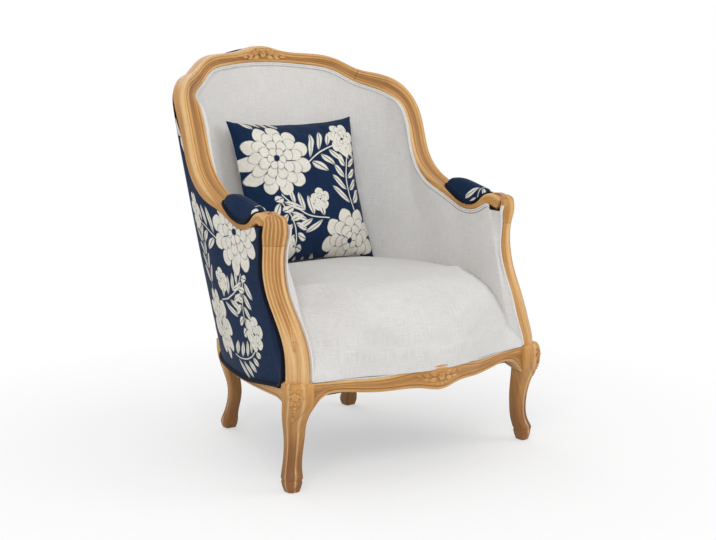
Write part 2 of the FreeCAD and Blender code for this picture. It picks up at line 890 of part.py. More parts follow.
def corners():
    """Inner corner of the front and rear leg blocks, and the way to the leg."""
    low, high = front_block_box()
    front = Vector(low.x, high.y, 0)
    rear = Vector(size("rear_block_inner"), size("rear_block_front"), 0)
    return {"front": (front, unit(Vector(1, -1, 0))), "rear": (rear, unit(Vector(1, 1, 0)))}


def build_corner_block(which, obstacles, screws):
    """Triangular block glued and screwed into the corner between two rails and a leg."""
    corner, toward = corners()[which]
    reach = size("corner_block_leg")
    side = Vector(0, -toward.y, 0)
    extra = 14.0
    tip = corner + Vector(extra, -side.y * extra, 0)
    low = size("seat_rail_top") - size("corner_block_drop") - size("corner_block_thick")
    points = [tip, tip + side * (reach + extra), tip + Vector(-reach - extra, 0, 0)]
    prism = Part.Face(closed_wire([point + UP * low for point in points]))
    prism = prism.extrude(UP * size("corner_block_thick"))
    flat = corner - toward * size("corner_block_reach")
    far = Part.makeBox(300, 300, 200, Vector(-300, -150, -100))
    far.Placement = Placement(Vector(flat.x, flat.y, low), Rotation(OUTWARD, toward))
    return biggest(prism.cut(far).cut(list(obstacles) + list(screws)))


def glide(start, name):
    """Round glide under a foot, and the pin that holds it in the wood."""
    disc = bound("Cylinder", {"Radius": "Sizes.glide_radius", "Height": "Sizes.%s_rise" % name}, start)
    tall = "Sizes.%s_rise + Sizes.glide_pin_length" % name
    pin = bound("Cylinder", {"Radius": "Sizes.glide_pin_radius", "Height": tall}, start)
    return fused([disc, pin])


def glides(name):
    foot = place(name, ("across", "back"))
    return [glide(foot, name), glide(mirrored(foot), name)]


def spring_clip(x, y):
    """Bent plate that holds the end run of a spring down on the rail."""
    half = size("spring_wire_radius") + size("clip_slack") / 2 + size("clip_thick")
    start = Vector(x - size("clip_wide") / 2, y - half, size("seat_rail_top"))
    inner = "(2 * Sizes.spring_wire_radius + Sizes.clip_slack)"
    outer = bound("Box", {"Length": "Sizes.clip_wide", "Width": inner + " + 2 * Sizes.clip_thick",
                          "Height": inner + " + 2 * Sizes.clip_thick"}, start)
    room = bound("Box", {"Length": "Sizes.clip_wide + 2", "Width": inner + " + 2 * Sizes.clip_thick",
                         "Height": inner}, start + Vector(-1, size("clip_thick"), size("clip_thick")))
    clip = doc.addObject("Part::Cut", "Clip")
    clip.Base, clip.Tool = outer, room
    doc.recompute()
    return clip


# The nodes

NODES = {}


def add(name, shapes, placement=None):
    """One named sub-part; several solids of one kind share a node."""
    shapes = shapes if isinstance(shapes, (list, tuple)) else [shapes]
    feature = doc.addObject("Part::Feature", name)
    feature.Label = name
    feature.Shape = shapes[0] if len(shapes) == 1 else Part.makeCompound(shapes)
    feature.Placement = placement or Placement()
    NODES[name] = feature


def add_group(name, things):
    """One named sub-part made of several bound pieces."""
    group = doc.addObject("Part::Compound", name)
    group.Label = name
    group.Links = things
    doc.recompute()
    NODES[name] = group


def add_pair(name, shape):
    """The sitter's left-hand piece, and its mirror image on the right."""
    many = isinstance(shape, (list, tuple))
    add(name + "_left", shape)
    add(name + "_right", [to_left(one) for one in shape] if many else to_left(shape))


def with_mirror(shapes):
    return list(shapes) + [to_left(shape) for shape in shapes]


def build_wood():
    dowels = on_both(dowel_places(), dowel)
    screws = {which: on_both(screw_places(which), corner_screw) for which in corners()}
    front_glides, rear_glides = glides("front_sole"), glides("rear_sole")
    band = seat_band()
    pegs = shapes_of(dowels)
    crest = loft(both_sides([rail_section(name) for name in CREST_RUN]))
    front_cuts = pegs + shapes_of(screws["front"] + front_glides)
    rear_cuts = pegs + shapes_of(screws["rear"] + rear_glides)
    wood = {
        "wing_rail": loft([rail_section(name) for name in WING_RUN]),
        "arm": loft([rail_section(name) for name in ARM_RUN]).fuse(knuckle_head()).cut(pegs),
        "arm_post": loft(post_sections()).cut(pegs),
        "front_leg": build_front_leg().cut(front_cuts),
        "rear_leg": build_rear_leg().cut(rear_cuts),
        "side_rail": build_side_rail(band).cut(pegs),
    }
    wood = {name: biggest(shape) for name, shape in wood.items()}
    apron = biggest(loft(both_sides(apron_sections())).cut(pegs))
    rear_rail = biggest(build_rear_rail(band).cut(pegs))
    add("crest_rail", crest)
    for name, shape in wood.items():
        add_pair(name, shape)
    add("front_rail", apron)
    add("rear_rail", rear_rail)
    add_group("frame_dowels", dowels)
    blocks = {
        "front": [wood["front_leg"], apron, wood["side_rail"]],
        "rear": [wood["rear_leg"], rear_rail, wood["side_rail"]],
    }
    for which, obstacles in blocks.items():
        block = build_corner_block(which, obstacles, shapes_of(screws[which]))
        add_pair("corner_block_" + which, block)
    add_group("corner_block_screws", screws["front"] + screws["rear"])
    add_group("foot_glides", front_glides + rear_glides)
    return crest, wood, apron


def build_inner_frame(crest, trim):
    stile = build_stile(crest)
    add_pair("back_stile", stile)
    low = size("stay_rise")
    band = between_heights(wall_band(size("stile_gap"), size("stile_gap") + size("stay_thick")),
                           low, low + size("stay_tall"))
    post = loft(post_sections())
    room = stile_bar(14.0)
    pieces = band.cut([room, to_left(room), post, to_left(post)] + trim).Solids
    pieces = [piece for piece in pieces if piece.Volume > 1000]
    centre = [piece for piece in pieces if abs(piece.CenterOfMass.x) < 50]
    side = [piece for piece in pieces if piece.CenterOfMass.x > 200]
    add("back_stay_rail", biggest(Part.makeCompound(centre)))
    add_pair("arm_stay_rail", biggest(Part.makeCompound(side)))
    return stile


def build_wall(crest, wood, stile, apron, trim):
    room = loft(post_sections(size("ease")))
    obstacles = [crest, apron] + trim
    for shape in (wood["wing_rail"], wood["arm"], room, wood["front_leg"]):
        obstacles += [shape, to_left(shape)]
    ease = size("ease")
    lining = size("lining_thick")
    foam = size("back_foam_thick")

    def layer(near, far, belly=0.0):
        return wall_layer(lambda name: layer_section(name, near, far, belly=belly))

    add("back_hessian", biggest(layer(-lining, 0.0).cut(obstacles)))
    padding = biggest(layer(-lining - foam, -lining - ease, size("belly")).cut(obstacles))
    add("back_foam", padding)
    linen = biggest(wall_layer(linen_section).cut(obstacles))
    add("inside_cover", linen)
    outside = wall_layer(outside_section).cut(obstacles + [stile, to_left(stile)])
    add("outside_cover", biggest(outside))
    wide = size("webbing_wide")
    upright = layer(ease, ease + size("webbing_thick"))
    straps = []
    for number in range(4):
        x = (number - 1.5) * 1.7 * wide
        straps.append(upright.common(box_between(Vector(x - wide / 2, 0, 0), Vector(x + wide / 2, 900, 1100))))
    add("back_webbing_upright", [biggest(strap) for strap in straps])
    return [linen, padding] + obstacles


def build_seat(blockers):
    ease = size("ease")
    springs, ends = build_springs()
    add("seat_springs", springs)
    add_group("spring_clips", [spring_clip(x, y) for x, y in ends])
    base = deck_rise()
    solid = seat_solid(0, base + size("seat_hessian_thick") + ease)
    sheet_top = base + size("seat_hessian_thick")
    hessian = seat_solid(0, base).common(box_between(Vector(-900, -900, base), Vector(900, 900, sheet_top)))
    add("seat_hessian", biggest(hessian.cut(blockers)))
    foam = biggest(solid.cut(blockers))
    add("seat_foam", foam)
    inner = seat_solid(ease, base - 5)
    cover = seat_solid(ease + size("linen_thick"), base).cut(inner)
    add("seat_cover", biggest(cover.cut(blockers)))


def build_trim(crest, wood, apron):
    """Welts and pipings, cut where they press against the wood."""
    rails = [crest, wood["wing_rail"], wood["arm"]]
    inside = biggest(build_inside_welt(list(RAIL_SIZES)[:-2]).cut(rails))
    seat = biggest(build_seat_welt().cut([apron, wood["front_leg"], to_left(wood["front_leg"])]))
    upright = biggest(build_post_piping().cut([wood["arm_post"], wood["arm"], wood["front_leg"]]))
    add("inside_welt", with_mirror([inside]))
    add("seat_welt", seat)
    add("outside_piping", [build_bottom_piping()] + with_mirror([upright]))
    return with_mirror([inside, upright]) + [seat]


def build_arm_pads(arm):
    ease = size("ease")
    foam = biggest(pad_solid(0, ease).cut(arm))
    outer = pad_solid(size("pad_cover_thick") + ease, ease)
    cover = biggest(outer.cut([pad_solid(ease, -5), arm]))
    piping = [biggest(side.cut([outer, arm])) for side in build_pad_piping()]
    add_pair("arm_pad_foam", foam)
    add_pair("arm_pad_cover", cover)
    add_pair("arm_pad_piping", piping)


def build_dust_cover(leg):
    low = size("seat_rail_bottom") - size("dust_cover_thick")
    reach = front_block_box()[1].y + 2
    cloth = frame_floor(low, size("seat_rail_bottom"), 8.0, reach)
    add("dust_cover", biggest(cloth.cut([leg, to_left(leg)])))


def build_pillow():
    cover = size("pillow_cover_thick")
    filling = pillow_half(cover, 1).fuse(pillow_half(cover, -1)).removeSplitter()
    pieces = {
        "pillow_filling": filling,
        "pillow_front": pillow_half(0, 1).cut(filling),
        "pillow_back": pillow_half(0, -1).cut(filling),
    }
    for name, shape in pieces.items():
        add(name, biggest(shape), pillow_place())


def check_and_write():
    for thing in doc.Objects:
        if "Invalid" in thing.State or "Error" in thing.State:
            raise RuntimeError("failed object: " + thing.Name)
    for name, feature in NODES.items():
        shape = feature.Shape
        if shape.isNull() or not shape.isValid() or not shape.Solids:
            raise RuntimeError("bad shape: " + name)
    os.makedirs("parts", exist_ok=True)
    for name, feature in NODES.items():
        feature.Shape.exportStep(os.path.join("parts", name + ".step"))


def main():
    crest, wood, apron = build_wood()
    trim = build_trim(crest, wood, apron)
    stile = build_inner_frame(crest, trim)
    build_seat(build_wall(crest, wood, stile, apron, trim))
    build_arm_pads(wood["arm"])
    build_dust_cover(wood["rear_leg"])
    build_pillow()
    doc.recompute()
    check_and_write()


main()
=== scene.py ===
import math

import bpy
import numpy as np
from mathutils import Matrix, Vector


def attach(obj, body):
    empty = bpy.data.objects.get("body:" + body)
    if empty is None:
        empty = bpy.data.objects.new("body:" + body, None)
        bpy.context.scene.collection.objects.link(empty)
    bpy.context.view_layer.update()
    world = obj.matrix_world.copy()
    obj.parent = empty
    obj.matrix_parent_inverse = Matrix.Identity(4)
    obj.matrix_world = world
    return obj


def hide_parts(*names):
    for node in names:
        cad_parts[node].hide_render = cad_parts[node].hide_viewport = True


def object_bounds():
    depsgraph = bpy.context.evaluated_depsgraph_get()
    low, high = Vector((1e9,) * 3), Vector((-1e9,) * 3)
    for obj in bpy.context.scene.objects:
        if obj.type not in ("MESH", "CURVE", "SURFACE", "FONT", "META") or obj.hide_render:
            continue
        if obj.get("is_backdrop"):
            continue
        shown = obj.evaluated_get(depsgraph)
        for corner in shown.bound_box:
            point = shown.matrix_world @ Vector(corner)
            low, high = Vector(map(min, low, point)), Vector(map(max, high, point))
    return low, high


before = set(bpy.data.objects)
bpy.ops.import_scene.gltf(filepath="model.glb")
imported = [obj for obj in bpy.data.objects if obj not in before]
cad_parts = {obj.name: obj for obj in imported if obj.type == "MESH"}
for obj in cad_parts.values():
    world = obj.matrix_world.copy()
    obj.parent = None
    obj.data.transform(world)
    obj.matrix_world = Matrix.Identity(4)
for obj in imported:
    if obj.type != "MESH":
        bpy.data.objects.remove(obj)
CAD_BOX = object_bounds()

# Armchair with a carved oak frame, linen inside, printed cotton outside and a scatter pillow.
# Tables are in millimetres and in the CAD frame; meshes are made in metres.

MM = 0.001
CHAIR, PILLOW = "chair", "pillow"
MIRROR = np.array([-1, 1, 1])
SIDES = (np.array([1, 1, 1]), MIRROR)

# across, back, rise, face, deep, tilt, run
RAIL = {
    "crest": (0, 360, 978.5, 43, 42, 0, 0),
    "crest_side": (52, 355, 972.5, 33, 38, 0, 40),
    "brow": (125, 336, 965, 31, 38, 0, 110),
    "shoulder": (198, 305, 951, 34, 38, 0, 180),
    "neck": (247, 270, 922, 37, 38, 0, 235),
    "ear": (290, 226, 905, 44, 38, 0, 290),
    "wing_top": (320, 189, 886, 50, 38, 0, 345),
    "wing_turn": (337, 152, 852, 53, 38, 5, 390),
    "wing": (342, 120, 790, 53, 38, 5, 440),
    "wing_low": (341, 86, 705, 54, 36, 20, 480),
    "wing_foot": (341, 34, 659, 55, 30, 50, 530),
    "arm_root": (342, -22, 633, 53, 20, 70, 580),
    "arm_back": (344, -70, 608, 50, 14, 90, 625),
    "arm_dip": (344, -117, 594.5, 50, 13, 90, 665),
    "arm_rise": (345, -154, 603, 50, 15, 90, 710),
    "knuckle_back": (346, -176, 621, 50, 22, 90, 745),
    "knuckle_top": (348, -205, 628, 48, 30, 90, 785),
    "knuckle_tip": (350, -234, 617, 38, 32, 90, 800),
}
WALL = ["crest", "brow", "shoulder", "neck", "ear", "wing_top", "wing", "wing_foot",
        "arm_root", "arm_back", "arm_dip", "arm_rise", "knuckle_top"]

# The arm posts and front legs look forward and outward
DIAGONAL = math.radians(45)
POST_LOOK = np.array([math.sin(DIAGONAL), -math.cos(DIAGONAL), 0])
POST_ACROSS = np.array([math.cos(DIAGONAL), math.sin(DIAGONAL), 0])
# across, back, rise, wide, thick
POST = np.array([
    (349, -322, 250, 54, 28), (349, -322, 256, 54, 28), (343, -309, 317, 52, 31),
    (345, -283, 376, 50, 30), (350, -246, 440, 48, 30), (351, -229, 505, 48, 30),
    (351, -233, 556, 50, 30), (351, -239, 592, 54, 35), (351, -239, 610, 50, 32),
    (351, -234, 622, 38, 24), (351, -232, 626, 20, 12)], float)

# across, back, rise, side
FRONT_LEG = np.array([
    (357, -306, 0.5, 27), (357, -306, 10, 33), (357, -306, 22, 38), (356, -305, 34, 40),
    (353, -301, 46, 38), (347, -297, 84, 35), (346, -301, 130, 39), (349, -308, 167, 46),
    (349, -321, 206, 57), (349, -322, 234, 58), (349, -321, 249, 56), (349, -320, 258, 49)], float)
REAR_LEG = np.array([
    (196, 239, 0.5, 29), (196, 239, 12, 36), (195, 232, 38, 33), (195, 214, 80, 30),
    (198, 206, 120, 31), (207, 208, 160, 34), (217, 212, 206, 38), (219, 213, 247, 39)], float)

# across and back of the seat frame's outer face
OUTLINE = np.array([(0, 246), (110, 242), (198, 226), (236, 192), (300, 68), (341, -98), (357, -293)], float)

# Top of the seat frame inside the upholstery
RAIL_TOP = 248.0
# across, front, top and bottom of the front rail
APRON = np.array([
    (0, -406, 267, 205), (50, -399, 264, 213), (105, -388, 255, 216), (150, -371, 249, 214),
    (205, -354, 249, 218), (260, -343, 251, 223), (300, -339, 253, 210), (319, -338, 254, 190)], float)

# across and back of the seat's edge, on one side
SEAT = np.array([
    (0, -402), (105, -386), (205, -353), (292, -341), (325, -332), (318, -262), (300, -100),
    (262, 60), (178, 165), (0, 200)], float)
# back, low, deep and tall of the front roll, at the middle and at the corners
FRONT_ROUND = ((-250.0, 300.0, 152.0, 156.0), (-120.0, 270.0, 184.0, 151.0))
SEAT_SHOULDER, SEAT_CROWN, SEAT_BASE, SEAT_CORE = 392.0, 455.0, 254.5, 0.45

# Rounded as Blender's vectors are, because the cloth solver follows the last digit
PILLOW_AT = np.array(Vector((12, 193, 619.8)) * MM) / MM
PILLOW_TURN = math.radians(90 - 16.4)
# Radius of the welts and cords, the height of the outside cord, and its rise towards the posts
WELT, PAD_CORD, CORD = 2.5, 4.0, 4.4
CORD_RISE, FOOT_LIFT = 218.2, 20.0


# Curves and frames

def spline(knots, values, at):
    """Natural cubic spline through rows of values."""
    count = len(knots)
    gap = np.diff(knots)
    left = np.zeros((count, count))
    right = np.zeros((count, values.shape[1]))
    left[0, 0] = left[-1, -1] = 1
    for i in range(1, count - 1):
        left[i, i - 1:i + 2] = gap[i - 1], 2 * (gap[i - 1] + gap[i]), gap[i]
        right[i] = 6 * ((values[i + 1] - values[i]) / gap[i] - (values[i] - values[i - 1]) / gap[i - 1])
    bend = np.linalg.solve(left, right)
    at = np.atleast_1d(np.asarray(at, float))
    i = np.clip(np.searchsorted(knots, at) - 1, 0, count - 2)
    t, h = (at - knots[i])[:, None], gap[i][:, None]
    slope = (values[i + 1] - values[i]) / h - h * (2 * bend[i] + bend[i + 1]) / 6
    return values[i] + t * slope + t ** 2 * bend[i] / 2 + t ** 3 * (bend[i + 1] - bend[i]) / (6 * h)


def lengths(grid):
    """Distance along each row of a grid of points."""
    steps = np.linalg.norm(np.diff(grid, axis=1), axis=2)
    return np.hstack([np.zeros((len(grid), 1)), np.cumsum(steps, 1)])


def chords(points):
    return lengths(points[None])[0]


def unit(rows):
    return rows / np.linalg.norm(rows, axis=-1, keepdims=True)


def both(rows, flip):
    """Rows of one side put after their mirror image, the middle row once."""
    mirror = rows[:0:-1].copy()
    mirror[:, flip] *= -1
    return np.vstack([mirror, rows])


RAIL_NAMES = list(RAIL)
RAIL_ROWS = both(np.array(list(RAIL.values()), float), [0, 6])
RAIL_KNOTS = chords(RAIL_ROWS[:, :3])
RAIL_KNOTS -= RAIL_KNOTS[len(RAIL) - 1]
RAIL_AT = dict(zip(RAIL_NAMES, RAIL_KNOTS[len(RAIL) - 1:]))


def rail(at):
    """Face centre, face normal, outward direction, face width and depth."""
    at = np.atleast_1d(np.asarray(at, float))
    rows, ahead, behind = (spline(RAIL_KNOTS, RAIL_ROWS, at + step) for step in (0, 0.5, -0.5))
    along = unit(ahead[:, :3] - behind[:, :3])
    tilt = np.radians(np.interp(at, RAIL_KNOTS, RAIL_ROWS[:, 5]))
    look = np.stack([0 * tilt, -np.cos(tilt), np.sin(tilt)], 1)
    normal = unit(look - along * np.sum(look * along, 1, keepdims=True))
    return rows[:, :3], normal, np.cross(normal, along), rows[:, 3], rows[:, 4]


def rail_point(name, out, depth):
    """Point at a named section: out in mm from the inner edge of the face, depth behind it."""
    centre, normal, across, face, deep = rail(RAIL_AT[name])
    return (centre + across * (out - face[:, None] / 2) - normal * depth)[0]


OUTLINE_ROWS = both(OUTLINE, [0])
OUTLINE_KNOTS = chords(OUTLINE_ROWS)
OUTLINE_KNOTS -= OUTLINE_KNOTS[len(OUTLINE) - 1]


def outline(run):
    """Point on the outer face of the seat frame and the outward direction, by distance."""
    run = np.atleast_1d(np.asarray(run, float))
    point, ahead, behind = (spline(OUTLINE_KNOTS, OUTLINE_ROWS, run + step) for step in (0, 1, -1))
    along = unit(ahead - behind)
    level = np.zeros((len(run), 1))
    return np.hstack([point, level]), np.hstack([-along[:, 1:2], along[:, :1], level])


def smooth_step(value, low, high):
    t = np.clip((value - low) / (high - low), 0, 1)
    return t * t * (3 - 2 * t)


def peak(place, centre, width):
    """Bell curve of height 1."""
    return np.exp(-((place - centre) / width) ** 2)


def rounded(near, edge):
    """How far a rounded edge falls back, by the distance from it."""
    return edge * (1 - np.sqrt(np.clip(1 - (1 - np.clip(near / edge, 0, 1)) ** 2, 0, 1)))


def wobble(*fields):
    """Gentle fixed unevenness from a few summed waves, about -1 to 1."""
    total = 0
    for number, field in enumerate(fields):
        for turn, size in ((1.0, 0.5), (2.3, 0.3), (4.1, 0.2)):
            total = total + size * np.sin(field * turn + 1.7 * number + 3.1 * turn)
    return total / len(fields)


# Meshes

def linked(name, data):
    thing = bpy.data.objects.new(name, data)
    bpy.context.scene.collection.objects.link(thing)
    return thing


def make(name, points, faces, material, body=CHAIR, slot=None, replaces=(), attributes=None, smooth=True):
    mesh = bpy.data.meshes.new(name)
    mesh.from_pydata((np.asarray(points) * MM).tolist(), [], faces)
    for title, values in (attributes or {}).items():
        values = np.asarray(values, np.float32)
        kind, key = ("FLOAT", "value") if values.ndim == 1 else ("FLOAT_VECTOR", "vector")
        layer = mesh.attributes.new(title, kind, "POINT")
        layer.data.foreach_set(key, values.ravel())
    mesh.validate()
    mesh.polygons.foreach_set("use_smooth", [smooth] * len(mesh.polygons))
    mesh.materials.append(material)
    mesh.update()
    piece = linked(name, mesh)
    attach(piece, body)
    if replaces:
        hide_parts(*replaces)
    return piece


def quads(index):
    """Faces between neighbours in a grid of vertex numbers."""
    corners = [index[:-1, :-1], index[:-1, 1:], index[1:, 1:], index[1:, :-1]]
    return np.stack(corners, 2).reshape(-1, 4)


class Parts:
    """Collects grids and rings of points into one mesh with its attributes."""

    def __init__(self):
        self.points, self.faces, self.extra, self.count = [], [], {}, 0

    def add(self, grid, closed=False, caps=False, flip=False, **extra):
        rows, cols = grid.shape[:2]
        index = self.count + np.arange(rows * cols).reshape(rows, cols)
        faces = quads(np.hstack([index, index[:, :1]]) if closed else index).tolist()
        if caps:
            faces += [index[0, ::-1].tolist(), index[-1].tolist()]
        self.faces += [face[::-1] for face in faces] if flip else faces
        self.points.append(grid.reshape(-1, 3))
        for title, values in extra.items():
            width = values.shape[2:] if values.ndim > 2 else ()
            self.extra.setdefault(title, []).append(values.reshape((-1,) + width))
        self.count += rows * cols

    def sweep(self, sections, darker=0.0):
        """Adds a closed wooden length from its sections: ring, wood coordinates, and the wear and
        painted-shade value, which darker lowers.
        """
        rings, grain, wear = (np.array(part) for part in zip(*sections))
        self.add(rings, closed=True, caps=True, grain=grain, wear=wear - darker)
        return self

    def make(self, name, material, mirror=False, **keys):
        points = np.vstack(self.points) * (MIRROR if mirror else 1)
        faces = [face[::-1] for face in self.faces] if mirror else self.faces
        extra = {title: np.concatenate(rows) for title, rows in self.extra.items()}
        return make(name, points, faces, material, attributes=extra, **keys)


def pair(parts, name, material, nodes=(), **keys):
    """The sitter's left-hand piece and its mirror image."""
    made = []
    for side, mirror in (("left", False), ("right", True)):
        stands_for = [node + "_" + side for node in nodes]
        made.append(parts.make(name + "_" + side, material, mirror=mirror, replaces=stands_for, **keys))
    return made


def grain_of(length, around):
    """Wood coordinates: along the grain, round the section, and one spare."""
    return np.stack([length * MM, around * MM, 0 * length], -1)


# Node trees

class Tree:
    """Nodes of a new material, or of a tree that is given."""

    def __init__(self, name="", tree=None):
        self.tree = tree
        if tree:
            return
        self.material = bpy.data.materials.new(name)
        self.material.use_nodes = True
        self.tree = self.material.node_tree
        self.tree.nodes.clear()
        self.shader = self.node("ShaderNodeBsdfPrincipled")
        self.output = self.node("ShaderNodeOutputMaterial")
        self.tree.links.new(self.shader.outputs[0], self.output.inputs["Surface"])

    def node(self, kind, inputs=None, **props):
        node = self.tree.nodes.new(kind)
        for key, value in props.items():
            setattr(node, key, value)
        for key, value in (inputs or {}).items():
            socket = node.inputs[key]
            if isinstance(value, bpy.types.NodeSocket):
                self.tree.links.new(value, socket)
            else:
                socket.default_value = value
        return node

    def math(self, operation, a, b=0.0, c=0.0, clamp=False):
        inputs = {0: a, 1: b, 2: c}
        return self.node("ShaderNodeMath", inputs, operation=operation, use_clamp=clamp).outputs[0]

    def times(self, a, b, clamp=False):
        return self.math("MULTIPLY", a, b, clamp=clamp)

    def times_plus(self, a, b, c):
        return self.math("MULTIPLY_ADD", a, b, c)

    def minus(self, a, b):
        return self.math("SUBTRACT", a, b)

    def larger(self, a, b):
        return self.math("MAXIMUM", a, b)

    def size(self, a):
        return self.math("ABSOLUTE", a)

    def length(self, vector):
        return self.node("ShaderNodeVectorMath", {0: vector}, operation="LENGTH").outputs["Value"]

    def split(self, vector):
        return self.node("ShaderNodeSeparateXYZ", {0: vector}).outputs

    def flat(self, x, y):
        return self.node("ShaderNodeCombineXYZ", {0: x, 1: y, 2: 0.0}).outputs[0]

    def seen(self):
        """1 for rays that show the background, 0 for rays that light the object."""
        path = self.node("ShaderNodeLightPath").outputs
        mirrored = self.larger(path["Is Glossy Ray"], path["Is Transmission Ray"])
        return self.larger(path["Is Camera Ray"], mirrored)

    def attribute(self, name):
        return self.node("ShaderNodeAttribute", attribute_name=name).outputs

    def position(self):
        return self.node("ShaderNodeTexCoord").outputs["Object"]

    def stretch(self, vector, scale, move=(0, 0, 0)):
        return self.node("ShaderNodeMapping", {"Vector": vector, "Scale": scale, "Location": move}).outputs[0]

    def noise(self, vector, scale, detail=3.0, rough=0.5):
        inputs = {"Vector": vector, "Scale": scale, "Detail": detail, "Roughness": rough}
        return self.node("ShaderNodeTexNoise", inputs).outputs[0]

    def ramp(self, fac, *stops):
        node = self.node("ShaderNodeValToRGB", {0: fac})
        elements = node.color_ramp.elements
        while len(elements) < len(stops):
            elements.new(0.5)
        for element, (place, colour) in zip(elements, stops):
            element.position = place
            element.color = colour
        return node.outputs[0]

    def mix(self, fac, a, b):
        return self.node("ShaderNodeMix", {0: fac, 6: a, 7: b}, data_type="RGBA").outputs[2]

    def range(self, value, low, high, to_low=0.0, to_high=1.0):
        inputs = {0: value, 1: low, 2: high, 3: to_low, 4: to_high}
        return self.node("ShaderNodeMapRange", inputs).outputs[0]

    def bump(self, height, strength, distance):
        inputs = {"Height": height, "Strength": strength, "Distance": distance}
        return self.node("ShaderNodeBump", inputs).outputs[0]

    def finish(self, colour, roughness=None, normal=None, **fixed):
        if isinstance(colour, bpy.types.NodeSocket):
            self.tree.links.new(colour, self.shader.inputs["Base Color"])
        else:
            self.shader.inputs["Base Color"].default_value = colour
        if roughness is not None:
            self.tree.links.new(roughness, self.shader.inputs["Roughness"])
        if normal:
            self.tree.links.new(normal, self.shader.inputs["Normal"])
        for key, value in fixed.items():
            self.shader.inputs[key.replace("_", " ")].default_value = value
        return self.material


def rgb(red, green, blue):
    """Linear colour from the values a screen shows, 0 to 255."""
    shares = [value / 255 for value in (red, green, blue)]
    return tuple(v / 12.92 if v < 0.04045 else ((v + 0.055) / 1.055) ** 2.4 for v in shares) + (1.0,)


def wood_material(name, pale, middle, dark, shaped=True):
    """Oiled wood: grain, pores, brown patches and feet, pale rubbed edges, and painted shade in the hollows.
    """
    tree = Tree(name)
    if shaped:
        # Shaped pieces carry a value that is high on rubbed edges, which is real wear, and low in grooves and
        # hollows, which get painted shade
        place = tree.attribute("grain")["Vector"]
        wear = tree.attribute("wear")["Fac"]
    else:
        place = tree.position()
        wear = tree.range(tree.noise(place, 9.0), 0.3, 0.7, 0.6, 1.0)
    lines = tree.noise(tree.stretch(place, (9, 330, 330)), 1.0, 4.0, 0.6)
    bands = tree.noise(tree.stretch(place, (3, 60, 60)), 1.0, 3.0, 0.55)
    patches = tree.noise(tree.stretch(place, (9, 16, 16), (4, 2, 0)), 1.0, 2.0)
    pores = tree.noise(tree.stretch(place, (60, 1500, 1500)), 1.0, 2.0)
    tone = tree.times_plus(lines, 0.45, tree.times(bands, 0.55))
    colour = tree.ramp(tone, (0.32, dark), (0.5, middle), (0.68, pale))
    brown = tree.range(patches, 0.48, 0.72, 0.0, 0.55)
    colour = tree.mix(brown, colour, rgb(176, 122, 66))
    near_floor = tree.range(tree.split(tree.position())[2], 0.05, 0.24, 0.78, 0.0)
    colour = tree.mix(near_floor, colour, rgb(116, 68, 30))
    # Painted shade: where the wear value is low, in grooves and hollows, the colour is darkened towards deep
    # brown
    hollow_shade = tree.range(wear, 0.25, 0.9, 0.6, 0.0)
    colour = tree.mix(hollow_shade, colour, rgb(112, 70, 34))
    edges = tree.range(wear, 0.85, 1.15, 0.0, 0.65)
    rubbed = tree.times(edges, tree.range(bands, 0.3, 0.6), clamp=True)
    colour = tree.mix(rubbed, colour, rgb(236, 204, 152))
    pits = tree.range(pores, 0.30, 0.42, 0.45, 0.0)
    colour = tree.mix(pits, colour, rgb(120, 80, 42))
    height = tree.times_plus(pores, 0.6, lines)
    rough = tree.range(tone, 0.3, 0.7, 0.6, 0.46)
    return tree.finish(colour, rough, tree.bump(height, 0.35, 0.0006), Specular_IOR_Level=0.35)


def weave(tree, place, pitch):
    """Threads running both ways, thick and thin; gives height and heathered tone."""
    long = tree.noise(tree.stretch(place, (25, 1.0 / pitch, 900)), 1.0, 2.0, 0.6)
    wide = tree.noise(tree.stretch(place, (1.0 / pitch, 25, 900)), 1.0, 2.0, 0.6)
    return tree.times(tree.math("ADD", long, wide), 0.5)


def faced(tree):
    """Flat coordinates chosen by which way the surface faces, so threads stay square."""
    place = tree.split(tree.position())
    facing = tree.split(tree.node("ShaderNodeNewGeometry").outputs["Normal"])
    flat = tree.math("GREATER_THAN", tree.size(facing[2]), 0.7)
    side = tree.math("GREATER_THAN", tree.size(facing[0]), tree.size(facing[1]))

    def pick(switch, a, b):
        return tree.node("ShaderNodeMix", {0: switch, 2: a, 3: b}, data_type="FLOAT").outputs[0]

    return tree.flat(pick(flat, pick(side, place[0], place[1]), place[0]), pick(flat, place[2], place[1]))


def linen_material(name, pale, middle, dark, pitch=0.0016):
    tree = Tree(name)
    place = faced(tree)
    threads = weave(tree, place, pitch)
    fine = weave(tree, tree.stretch(place, (2.2, 2.2, 1), (3, 5, 0)), pitch)
    blotch = tree.noise(tree.position(), 7.0, 2.0)
    tone = tree.times_plus(threads, 0.65, tree.times(fine, 0.35))
    colour = tree.ramp(tone, (0.38, dark), (0.5, middle), (0.6, pale))
    colour = tree.mix(tree.range(blotch, 0.4, 0.7, 0.0, 0.14), colour, rgb(190, 186, 182))
    rough = tree.range(tone, 0.35, 0.65, 0.95, 0.82)
    bump = tree.bump(tone, 0.6, 0.0012)
    return tree.finish(colour, rough, bump, Sheen_Weight=0.15, Specular_IOR_Level=0.15)


def mask_group(name, counted):
    """New node group that makes a mask from a place and a count, with what feeds it."""
    group = bpy.data.node_groups.new(name, "ShaderNodeTree")
    sockets = (("Place", "INPUT", "Vector"), (counted, "INPUT", "Float"), ("Mask", "OUTPUT", "Float"))
    for title, way, kind in sockets:
        group.interface.new_socket(title, in_out=way, socket_type="NodeSocket" + kind)
    tree = Tree(tree=group)
    return tree, tree.node("NodeGroupInput").outputs


